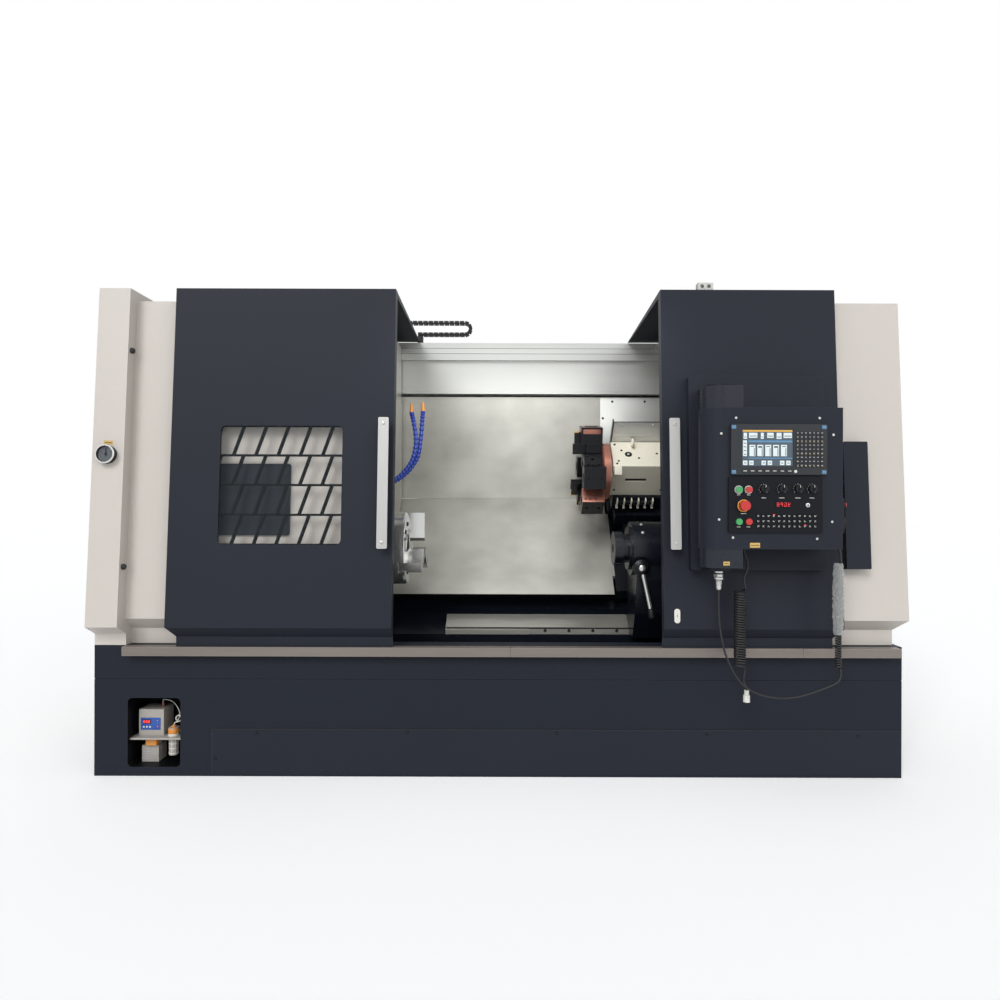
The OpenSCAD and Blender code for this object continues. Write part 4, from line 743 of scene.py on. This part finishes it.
def make_handheld():
    low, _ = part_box("handheld_unit")
    face = low[0] + 0.0261
    bm = bmesh.new()
    wheel = facing((face + 0.014, -1.155, 1.143), RIGHT)
    lathe(bm, [(27, -0.4), (27, 0.9), (25, 1.3), (12, 1.3), (11, 0.4), (0, 0.4)], wheel, 40, 0)
    for k in range(20):
        turn = turned(wheel, 18 * k)
        detail(bm, turn, (-0.4, 19, 1.1), (0.4, 24.5, 1.7), 0.1, 1)
    lathe(bm, [(6, 1), (6, 6), (4.5, 7.5), (0, 7.8)], moved(wheel, 18, 0), 20, 0)
    lathe(bm, [(9.5, -0.3), (9.5, 2.4), (8, 3.4), (0, 3.6)], facing((face + 0.012, -1.177, 1.217), RIGHT), 24,
          2)
    lathe(bm, [(8, -0.3), (8, 2), (6.5, 2.8), (0, 3)], facing((face + 0.009, -1.141, 1.211), RIGHT), 24, 1)
    for k in range(3):
        at = facing((face, -1.184, 1.176 - 0.016 * k), RIGHT)
        lathe(bm, [(4.5, -0.3), (4.5, 1.4), (3.6, 2), (0, 2.1)], at, 16, 1)
    piece("handheld_fittings", bm, ["black", "white", "red"], "pendant")
    bm = bmesh.new()
    for z in (1.118, 1.15, 1.224):
        detail(bm, front_frame(low[0] + 0.013, low[1], z), (-1, -10, -0.4), (1, 10, 0.9), 0.4)
    lathe(bm, [(5, -0.3), (5, 1.2), (4, 1.8), (0, 1.9)], front_frame(low[0] + 0.013, low[1], 1.186), 20)
    piece("handheld_side", bm, ["white"], "pendant")


# Doors and base

def make_base_detail():
    heads = [(-1075, 196), (-404, 200), (263, 198), (933, 194), (1606, 187), (-1260, 80)]
    screws("kick_screws", [((x * MM, -0.954, z * MM), FACE) for x, z in heads], 7, "black", "frame")
    seams = bmesh.new()
    block(seams, (-1.276, -0.9532, 0.2095), (1.794, -0.9496, 0.2125), None, 0.0008)
    block(seams, (-1.276, -0.9532, 0.014), (-1.273, -0.9496, 0.2125), None, 0.0008)
    piece("kick_seam", seams, ["rubber"], "frame")
    bm = bmesh.new()
    for up in (1.904, 0.935):
        y = on_door(0, (up - 0.675) / cos(LEAN)).y + 0.028
        lathe(bm, [(13, -0.5), (13, 9), (10, 14), (4, 16.5), (0, 16.5)], facing((-1.66, y, up), (1, 0, 0)),
              24)
    piece("door_bumpers", bm, ["rubber"], "frame")
    bm = bmesh.new()
    at = door_frame(-1.73, 0.812)
    detail(bm, at, (-20, -9, -0.3), (20, 9, 0.9), 0.4)
    detail(bm, at, (-15, -1.2, 0.7), (15, 1.2, 1.2), 0.2, 1)
    piece("gauge_tag", bm, ["tag", "black"], "frame")
    bm = bmesh.new()
    at = door_frame(-1.73, 0.758)
    lathe(bm, [(35.7, 16.2), (35.7, 16.8), (2.5, 16.8)], at, 48, 0)
    for k in range(31):
        turn = turned(at, 135 - 9 * k)
        long = 6 if k % 5 == 0 else 3.5
        detail(bm, turn, (-0.4, 33 - long, 16.7), (0.4, 33, 17.1), 0.1, 1)
    for k in range(9):
        turn = turned(at, -48 - 9 * k)
        detail(bm, turn, (-2.2, 33.5, 16.7), (2.2, 34.8, 17.1), 0.1, 2)
    lathe(bm, [(41.5, 24), (42.5, 26), (42.5, 29.5), (40.5, 31.2), (36.5, 31.2), (36, 28)], at, 48, 3)
    piece("gauge_dial", bm, ["dial", "white", "red", "zinc"], "frame")
    bm = bmesh.new()
    lathe(bm, [(36.2, 28.5), (30, 29.2), (15, 29.7), (0, 29.9)], at, 48)
    piece("gauge_lens", bm, ["pane"], "frame")
    bm = bmesh.new()
    at = door_frame(0.781, 0.0565)
    outline = []
    for k in range(36):
        a = 2 * pi * k / 36
        outline.append((0.013 * cos(a), copysign(0.0185, sin(a)) + 0.013 * sin(a)))
    for r0, r1, h0, h1 in ((1, 1, -0.0003, 0.0015), (1, 0.9, 0.0015, 0.0024), (0.9, 0.55, 0.0024, 0.0024),
                           (0.55, 0.5, 0.0024, 0.0014)):
        ends = ((r0, h0), (r1, h1))
        skin(bm, [[bm.verts.new(at @ Vector((x * r, y * r, h))) for x, y in outline] for r, h in ends])
    bm.faces.new([bm.verts.new(at @ Vector((x * 0.5, y * 0.5, 0.0014))) for x, y in outline])
    detail(bm, at, (-1.2, -6, 1.3), (1.2, 6, 1.8), 0.3, 1)
    piece("key_plate", bm, ["white", "black"], "right_door")
    for name, x in (("left_door", -0.504), ("right_door", 0.77)):
        spots = [(on_door(x, up, 0.051), DOOR_OUT) for up in (0.372, 0.893)]
        screws(name + "_handle_screws", spots, 6.5, "ground", name)


LUBE_X = -1.574
SHELF_Z = 0.155
TANK_X = -1.583
BOWL = Vector((-1.473, -0.888, SHELF_Z))
OUTLET = Vector((LUBE_X + 0.03, -0.84, SHELF_Z + 0.1258))


def make_lubricator():
    bm = bmesh.new()
    at = front_frame(LUBE_X - 0.048, -0.89, SHELF_Z + 0.032)
    detail(bm, at, (1, 1, -2.5), (89, 55, 0.2), 0.5)
    detail(bm, at, (10, 28, 0), (46, 48, 1.6), 0.6, 1)
    for k in range(3):
        detail(bm, at, (12 + 11 * k, 32, 1.2), (20 + 11 * k, 44, 2.2), 0.3, 2)
        lathe(bm, [(4.2, 0), (4.2, 1.6), (3.4, 2.2), (0, 2.3)], moved(at, 14 + 14 * k, 14), 18, 3)
    for k, lit in enumerate((2, 4, 5)):
        lathe(bm, [(2.6, 0), (2.6, 1), (0, 1.6)], moved(at, 76, 16 + 13 * k), 14, lit)
    piece("pump_panel", bm, ["lube_blue", "black", "lit_red", "white", "green", "amber"], "frame")
    bm = bmesh.new()
    at = Matrix.Translation(BOWL)
    lathe(bm, [(22.2, 17), (22.8, 19), (22.8, 40), (20.5, 45.5), (10, 46.2), (10, 52), (8, 54), (0, 54)], at,
          32, 0)
    for k in range(16):
        turn = turned(at, 22.5 * k)
        detail(bm, turn, (22.2, -1.4, 20), (23.8, 1.4, 40), 0.5)
    lathe(bm, [(24.2, 7.8), (24.6, 10), (24.6, 16), (24, 18.2)], at, 32, 1)
    for z in (-70, -48, -26, -4):
        lathe(bm, [(20, z - 2), (20.8, z - 1.2), (20.8, z + 1.2), (20, z + 2)], at, 32, 1)
    for k in range(8):
        turn = turned(at, 45 * k)
        detail(bm, turn, (19.6, -1.2, -76), (20.8, 1.2, -2), 0.4, 1)
    piece("filter_cap", bm, ["orange", "white"], "frame")
    bm = bmesh.new()
    at = front_frame(TANK_X, -0.88, 0)
    for k in range(5):
        z = 52 + 11 * k
        detail(bm, at, (-30, z, -0.4), (18 + 6 * (k % 3), z + 2.6, 1), 0.4)
    detail(bm, at, (-36, 108, -0.5), (36, 112.5, 1.2), 0.6, 1)
    detail(bm, at, (-14, 118, -19), (36, 146, 19), 4, 2)
    lathe(bm, [(9, 0), (9, 6), (6, 7), (6, 20), (4.5, 21)], Matrix.Translation(OUTLET), 20, 3)
    piece("tank_fittings", bm, ["lube", "tank", "orange", "bronze"], "frame")
    make_oil_line()


def make_oil_line():
    """Thin line from the filter to the pump's outlet, curled above the filter."""
    points = [BOWL + Vector((0, 0, 0.052)), BOWL + Vector((0.004, 0, 0.064))]
    for k in range(24):
        a = radians(30 * k - 90)
        points.append(BOWL + Vector((0.018 + 0.013 * cos(a), 0.003 + 0.0006 * k, 0.082 + 0.013 * sin(a))))
    points += [BOWL + Vector((0.014, 0.028, 0.104)), BOWL + Vector((-0.02, 0.043, 0.146)),
               OUTLET + Vector((0.004, 0, 0.0322)), OUTLET + Vector((0, 0, 0.0202))]
    line = smooth_path(points, 3)
    bm = bmesh.new()
    rings, r = [], 0.0022
    angles = [pi * j / 4 for j in range(8)]
    for k, p in enumerate(line):
        ahead = (line[min(k + 1, len(line) - 1)] - line[max(k - 1, 0)]).normalized()
        side = (side - ahead * side.dot(ahead)).normalized() if rings else ahead.orthogonal().normalized()
        up = ahead.cross(side)
        rings.append([bm.verts.new(p + (side * cos(a) + up * sin(a)) * r) for a in angles])
    skin(bm, rings)
    tube = piece("oil_line", bm, ["white"], "frame")


# Work space: places along the machine, up the slant and out of it

SLANT = radians(47)
GUARD = Vector((0, -0.45, 0.756))
SLANT_UP = Vector((0, cos(SLANT), sin(SLANT)))
SLANT_OUT = Vector((0, -sin(SLANT), cos(SLANT)))
AXIS = Vector((0, -0.65, 1.004))
TURRET = AXIS + SLANT_UP * 0.535
TURRET_S = (TURRET - GUARD).dot(SLANT_UP)
TURRET_P = (TURRET - GUARD).dot(SLANT_OUT)
HOUSE_X = 0.589
HOUSE_LOW, HOUSE_TALL = TURRET_S - 0.075, 0.185
HOUSE_TOP = TURRET_P + 0.11
HOUSE_BASE = HOUSE_TOP - 0.194

# Tool blocks in millimetres: their ends along the machine, and half their width
BLOCK_NEAR, BLOCK_FAR, BLOCK_HALF = 425, 537, 56


def on_slant(x, up, out):
    return RIGHT * x + GUARD + SLANT_UP * up + SLANT_OUT * out


def slant_frame(x, up, out):
    return axes_frame(on_slant(x, up, out), SLANT_UP, SLANT_OUT)


def make_turret():
    down = -SLANT_UP
    spots = [(on_slant(HOUSE_X + x, HOUSE_LOW + s, HOUSE_TOP), SLANT_OUT)
             for x, s in ((0.02, 0.02), (0.27, 0.02), (0.02, 0.165), (0.27, 0.165))]
    spots += [(on_slant(HOUSE_X + x, HOUSE_LOW, HOUSE_BASE + p), down)
              for x, p in ((0.02, 0.02), (0.27, 0.02), (0.27, 0.17))]
    screws("housing_screws", spots, 6, "blackened", "cross")
    bm = bmesh.new()
    at = slant_frame(HOUSE_X + 0.086, HOUSE_LOW + 0.09, HOUSE_TOP)
    lathe(bm, [(19, -0.3), (19, 1.2), (16, 2), (10, 2), (9, 1.2), (0, 1.2)], at, 28, 0)
    lathe(bm, [(7.5, 1), (7.5, 4), (5.5, 5), (0, 5)], at, 6, 1)
    for x, s in ((0.052, 0.12), (0.138, 0.062), (0.03, 0.04), (0.236, 0.096)):
        at = slant_frame(HOUSE_X + x, HOUSE_LOW + s, HOUSE_TOP)
        lathe(bm, [(6.2, -0.3), (6.2, 1), (5, 1.6), (4, 1), (0, 1)], at, 18, 0)
    piece("housing_plugs", bm, ["black", "zinc"], "cross")
    bm = bmesh.new()
    for k in range(6):
        x = HOUSE_X + 0.041 + 0.038 * k
        at = slant_frame(x, HOUSE_LOW, HOUSE_BASE)
        detail(bm, at, (-2.8, -42, -78), (2.8, -19.5, -21.5), 1.5)
        detail(bm, at, (-6, -44, -82), (6, -20, -74), 1.5)
    piece("port_fins", bm, ["turret"], "cross")
    bm = bmesh.new()
    for k in range(5):
        x = HOUSE_X + 0.06 + 0.038 * k
        at = facing(on_slant(x, HOUSE_LOW - 0.037, HOUSE_BASE - 0.044), down)
        lathe(bm, [(12.8, -0.4), (12.8, 3), (11, 5.2), (7, 6), (6.2, 4.4), (0, 4.4)], at, 28)
    piece("port_caps", bm, ["black"], "cross")
    bm = bmesh.new()
    top, face = HOUSE_TOP + 0.136, HOUSE_LOW + HOUSE_TALL + 0.004
    block(bm, (HOUSE_X + 0.007, face - 0.0008, HOUSE_TOP - 0.19), (0.958, face + 0.0002, top - 0.001),
          slant_frame(0, 0, 0), 0.0003)
    block(bm, (HOUSE_X + 0.007, face - 0.003, HOUSE_TOP + 0.044), (0.958, face, HOUSE_TOP + 0.048),
          slant_frame(0, 0, 0), 0.001)
    # The guard sheet takes the lighter stainless as painted light, though it lies in shade.
    piece("guard_sheet", bm, ["bright"], "cross")
    spots = [(on_slant(x, face - 0.0008, top - 0.018), down) for x in (HOUSE_X + 0.05, 0.8, 0.9)]
    screws("guard_screws", spots, 5.5, "zinc", "cross")


def make_housing_front():
    """The oil slot lined black as painted shade, the pale stop block, the plate on the wall behind, and the
    lintel's seams.
    """
    bm = bmesh.new()
    at = slant_frame(HOUSE_X, HOUSE_LOW, HOUSE_BASE)
    # A black lining deep in the oil slot: painted shade inside the slot.
    detail(bm, at, (70.2, 3.5, 84.2), (181.8, 5.8, 103.8), 0.5)
    edge = on_slant(HOUSE_X, HOUSE_LOW, HOUSE_TOP)
    block(bm, edge + Vector((0.005, -0.0005, -0.044)), edge + Vector((0.044, 0.044, -0.0002)), None, 0.0015,
          1)
    piece("housing_stop", bm, ["rubber", "turret"], "cross")
    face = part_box("way_shield")[1][1] - 0.003
    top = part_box("way_shield")[1][2]
    bm = bmesh.new()
    block(bm, (0.572, face - 0.0016, 1.3), (1.3, face + 0.0004, top - 0.002), None, 0.0006)
    piece("wall_plate", bm, ["bright"], "carriage")
    places = [(0.586, top - 0.12), (0.586, 1.33)]
    places += [(x, z) for x in (0.64, 0.826, 1.012) for z in (top - 0.024, 1.33)]
    screws("plate_screws", [((x, face - 0.0016, z), FACE) for x, z in places], 6.5, "black", "carriage")
    low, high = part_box("lintel_beam")
    bm = bmesh.new()
    for k in (1, 2):
        z = high[2] - 0.097 * (1 - k / 3)
        y = low[1] + 0.012 * (k - 1)
        block(bm, (low[0] + 0.01, y - 0.0006, z - 0.003), (high[0] - 0.01, y + 0.001, z - 0.0008), None,
              0.0004)
    piece("lintel_seams", bm, ["key"], "frame")


def make_tool_caps():
    """Bare copper-coloured faces, clamp screws and an insert on the tool blocks."""
    x0, x1, half = BLOCK_NEAR, BLOCK_FAR, BLOCK_HALF
    bm = bmesh.new()

    def head(spot, normal, r, material):
        screw(bm, at @ (Vector(spot) * MM), at.to_3x3() @ Vector(normal), r, material)
    for k in range(8):
        at = turned(Matrix.Translation(TURRET), 45 * k + 11, "X")
        if k in (0, 5):
            detail(bm, at, (x0 - 0.5, -half - 0.5, 194), (x1, half + 0.5, 238.4), 12)
            detail(bm, at, (x0 + 20, -30, 230), (x1 - 20, 30, 242), 5, 1)
            for x in (x0 + 26, x1 - 26):
                head((x, -half, 172), (0, -1, 0), 6.5, 2)
            detail(bm, at, (x0 - 38.5, -14, 104), (x0 - 15, 14, 112), 2, 2)
            detail(bm, at, (x0 - 34.5, -10, 206), (x0 - 8, 10, 213), 2, 3)
        elif k in (2, 3, 6):
            if k != 2:
                detail(bm, at, (x0 - 0.5, half - 3, 150.5), (x1, half + 1, 237.5), 1.2)
            for x in (x0 + 14, x0 + 38, x0 + 66):
                head((x, half + 0.8, 220), (0, 1, 0), 4.8, 1)
            detail(bm, at, (x0 + 4, -half - 0.6, 190), (x1 - 4, 2 - half, 196), 1, 1)
            bore = turned(moved(at, x0, 0, 194), 90, "Y")
            lathe(bm, [(20, 0), (24.5, -0.6), (25.5, -0.3), (26, 0.5)], bore, 40, 2)
        else:
            for side in (-26, 26):
                for x in (x1 - 22, x0 + 34):
                    head((x, side, 100), (0, 0, 1), 6, 2)
    for k in range(12):
        a = radians(30 * k)
        spot = TURRET + Vector((x1 * MM, cos(a) * 0.078, sin(a) * 0.078))
        screw(bm, spot, (-1, 0, 0), 6.5, 1)
    piece("tool_block_faces", bm, ["bronze", "blackened", "black", "tag"], "turret")


CHUCK_FACE = -0.443
JAW_FACE = -0.377
BOLT_CIRCLE = 118


def make_chuck():
    bm = bmesh.new()
    hub = facing(AXIS + RIGHT * CHUCK_FACE, RIGHT)
    for k in range(6):
        a = radians(60 * k + 30 + (12 if k % 2 else -12))
        at = moved(hub, BOLT_CIRCLE * cos(a), BOLT_CIRCLE * sin(a))
        bolt(bm, at, 10.5, 9.2, 3, 4.2, 5.8, 1.2)
    for r in (62, 160):
        lathe(bm, [(r, -0.3), (r + 0.4, 0.6), (r + 2.2, 0.6), (r + 2.6, -0.3)], hub, 64, 1)
    piece("chuck_bolts", bm, ["blackened", "chuck"], "spindle")
    for k, body in enumerate(("jaw_a", "jaw_b", "jaw_c")):
        a = radians(120 * k)
        out = Vector((0, -sin(a), cos(a)))
        bm = bmesh.new()
        for r in (0.096, 0.14):
            at = facing(AXIS + RIGHT * JAW_FACE + out * r, RIGHT)
            bolt(bm, at, 9.8, 8.8, 9.5, 10.5, 5.6, 5)
        piece(body + "_bolts", bm, ["blackened"], body)


HOSE_AT = Vector((-0.541, -0.71, 1.318))
HOSE_ROUTES = [[(0, 0), (42, 14), (92, 58), (130, 122), (142, 205), (130, 292), (120, 336)],
               [(0, 0), (48, 14), (104, 60), (146, 124), (160, 205), (168, 296), (172, 346)]]


def make_hoses():
    bm = bmesh.new()
    low = Vector((-0.565, HOSE_AT.y - 0.04, HOSE_AT.z - 0.03))
    block(bm, low, (-0.5395, HOSE_AT.y + 0.075, HOSE_AT.z + 0.03), None, 0.002, 2)
    for y, z in ((-0.032, 0.022), (-0.032, -0.022), (0.067, 0.022), (0.067, -0.022)):
        screw(bm, HOSE_AT + Vector((0.0015, y, z)), (1, 0, 0), 5, 2)
    for route, y, turn in zip(HOSE_ROUTES, (-0.004, 0.034), (0.0003, -0.0003)):
        line = smooth_path([HOSE_AT + Vector((x * MM, y, z * MM)) for x, z in route], 4)
        for k, (a, b) in enumerate(zip(line, line[1:])):
            slide = Vector((0, turn * k, 0))
            at = facing(a + slide, b - a)
            long = (b - a).length / MM
            lathe(bm, [(7, -1), (10.8, 0.5), (11.8, 3.5), (11.8, 6.5), (10.2, 9.5), (7.8, long * 0.9),
                       (7, long + 1)], at, 20)
        end = line[-1] + Vector((0, turn * 24, 0))
        lathe(bm, [(7, -4), (10.8, 0), (11, 8), (8.5, 16), (6.2, 40), (5.8, 43.5), (4, 43.5), (3.8, 30)],
              Matrix.Translation(end), 24, 1)
    obj = piece("hose_lines", bm, ["blue", "orange", "zinc"], "frame")
    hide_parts("coolant_hoses")


def make_tailstock():
    bm = bmesh.new()
    for x in (0.68, 0.86, 1.04):
        for a in (-38, -64):
            out = Vector((0, -cos(radians(a)), -sin(radians(a))))
            screw(bm, AXIS + RIGHT * x + out * 0.1296, out, 8)
    piece("barrel_screws", bm, ["zinc"], "tailstock")
    low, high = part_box("tailstock_way")
    bm = bmesh.new()
    toe = low[1] + 0.008
    block(bm, (low[0] + 0.002, toe - 0.0008, low[2] + 0.026), (high[0] - 0.002, toe + 0.001, low[2] + 0.0345),
          None, 0.0004)
    for k in range(9):
        at = facing((low[0] + 0.499 + 0.12 * k, toe, low[2] + 0.018), FACE)
        lathe(bm, [(8.5, -0.4), (8.5, 0.6), (6.6, 1), (6, 0.4), (0, 0.4)], at, 20)
    piece("way_seal", bm, ["rubber"], "frame")
    bm = bmesh.new()
    hub = facing((0.667, -0.776, 0.921), FACE)
    lathe(bm, [(14, -48), (14, 0), (36, 0), (40, 4), (40.8, 9), (40.8, 20), (38, 26), (30, 30)], hub, 48, 0)
    lathe(bm, [(30, 30), (27, 33.5), (21, 35.5), (16, 35.8), (15, 34)], hub, 48, 0)
    lathe(bm, [(15, 34), (14.5, 37.2), (11.5, 39.2), (6, 40), (0, 40.2)], hub, 32, 1)
    tip, start = Vector((0.708, -0.83, 0.706)), Vector((0.671, -0.794, 0.903))
    long = (tip - start).length / MM
    rod = facing(start, tip - start)
    lathe(bm, [(10.5, 0), (10.8, 30), (9.5, 36), (9.2, long - 30)], rod, 28, 1)
    lathe(bm, [(9.2, long - 30), (12, long - 28), (15, long - 14), (16, long + 6), (13, long + 15),
               (6, long + 18.5), (0, long + 18.5)], rod, 32, 2)
    obj = piece("lever_grip", bm, ["blackened", "silver", "black"], "lever")
    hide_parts("clamp_lever")


def chain_link(bm, at, turn, wide):
    """One link of the cable carrier: two side plates with their pins, and two bars across."""
    place = Matrix.Translation(at) @ Matrix.Rotation(-turn, 4, "Y")
    long = 0.0135 if not turn else 0.0115
    for side in (-1, 1):
        block(bm, (-long, side * wide - 0.0022, -0.0098), (long, side * wide + 0.001 * (1 - side), 0.0098),
              place, 0.0018)
        for x in (-long * 0.6, long * 0.6):
            pin = place @ facing((x, side * (wide - 0.0005), 0), (0, side, 0))
            lathe(bm, [(4.4, 0), (4.4, 1), (3.6, 1.6), (0, 1.6)], pin, 14)
    for z in (-0.0094, 0.0072):
        block(bm, (-long * 0.55, -wide, z), (long * 0.55, wide, z + 0.0022), place, 0.0008)


def make_chain():
    """The cable carrier: its upper run and half turn go with the left door, and its lower run stays in place.
    """
    pitch, radius, wide = 0.03, 0.033, 0.019
    low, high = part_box("drag_chain")
    y = (low[1] + high[1]) / 2
    end = high[0] - radius - 0.011
    base = high[2] - 2 * radius - 0.011
    upper = bmesh.new()
    for k in range(12):
        chain_link(upper, Vector((end - pitch * (k + 0.5), y, base + 2 * radius)), 0.0, wide)
    for k in range(4):
        a = radians(-67.5 + 45 * k)
        at = Vector((end + radius * cos(a), y, base + radius + radius * sin(a)))
        chain_link(upper, at, a + pi / 2, wide)
    lower = bmesh.new()
    for k in range(9):
        chain_link(lower, Vector((end - pitch * (k + 0.5), y, base)), 0.0, wide)
    block(lower, (end - pitch * 9, y - 0.017, low[2] + 0.0005), (end - pitch * 8, y + 0.017, base - 0.009),
          None, 0.002)
    block(lower, (end - pitch * 8.5, y - 0.012, base - 0.005), (end + 0.01, y + 0.012, base + 0.005), None,
          0.002)
    links = piece("carrier_links", upper, ["black"], "left_door")
    run = piece("carrier_run", lower, ["black"], None)
    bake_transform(run)
    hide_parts("drag_chain")
    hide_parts("drag_chain")


REAR_FACE = 0.95


def make_back():
    bm = bmesh.new()
    at = turned(front_frame(0.8, REAR_FACE + 0.0005, 1.35), 180, "Y")
    detail(bm, at, (-16, -60, -0.4), (16, 60, 4), 3)
    detail(bm, at, (-10, -46, 3.5), (10, 30, 11), 4, 1)
    lathe(bm, [(8, 3.5), (8, 7), (7, 8), (0, 8)], moved(at, 0, 45), 20, 2)
    piece("cabinet_latch", bm, ["black", "blackened", "zinc"], "cabinet")
    spots = [((x, REAR_FACE, z), -FACE) for x in (-1.72, -1.1, -0.48, 1.05, 1.72) for z in (0.66, 2.02)]
    screws("rear_screws", spots, 7, "zinc", "frame")
    bm = bmesh.new()
    for x in (-1.4, 0.96):
        block(bm, (x - 0.0015, REAR_FACE - 0.001, 0.59), (x + 0.0015, REAR_FACE + 0.0008, 2.1), None, 0.0005)
    for z in (0.3, 0.44):
        block(bm, (-1.7, REAR_FACE - 0.001, z), (1.7, REAR_FACE + 0.0008, z + 0.003), None, 0.0005)
    piece("rear_seams", bm, ["rubber"], "frame")


make_camera()
make_light()
make_floor()
dress_nodes()
make_cords()
make_pendant()
make_screen()
make_panel()
make_handheld()
make_base_detail()
make_lubricator()
make_turret()
make_housing_front()
make_tool_caps()
make_chuck()
make_hoses()
make_tailstock()
make_chain()
make_back()
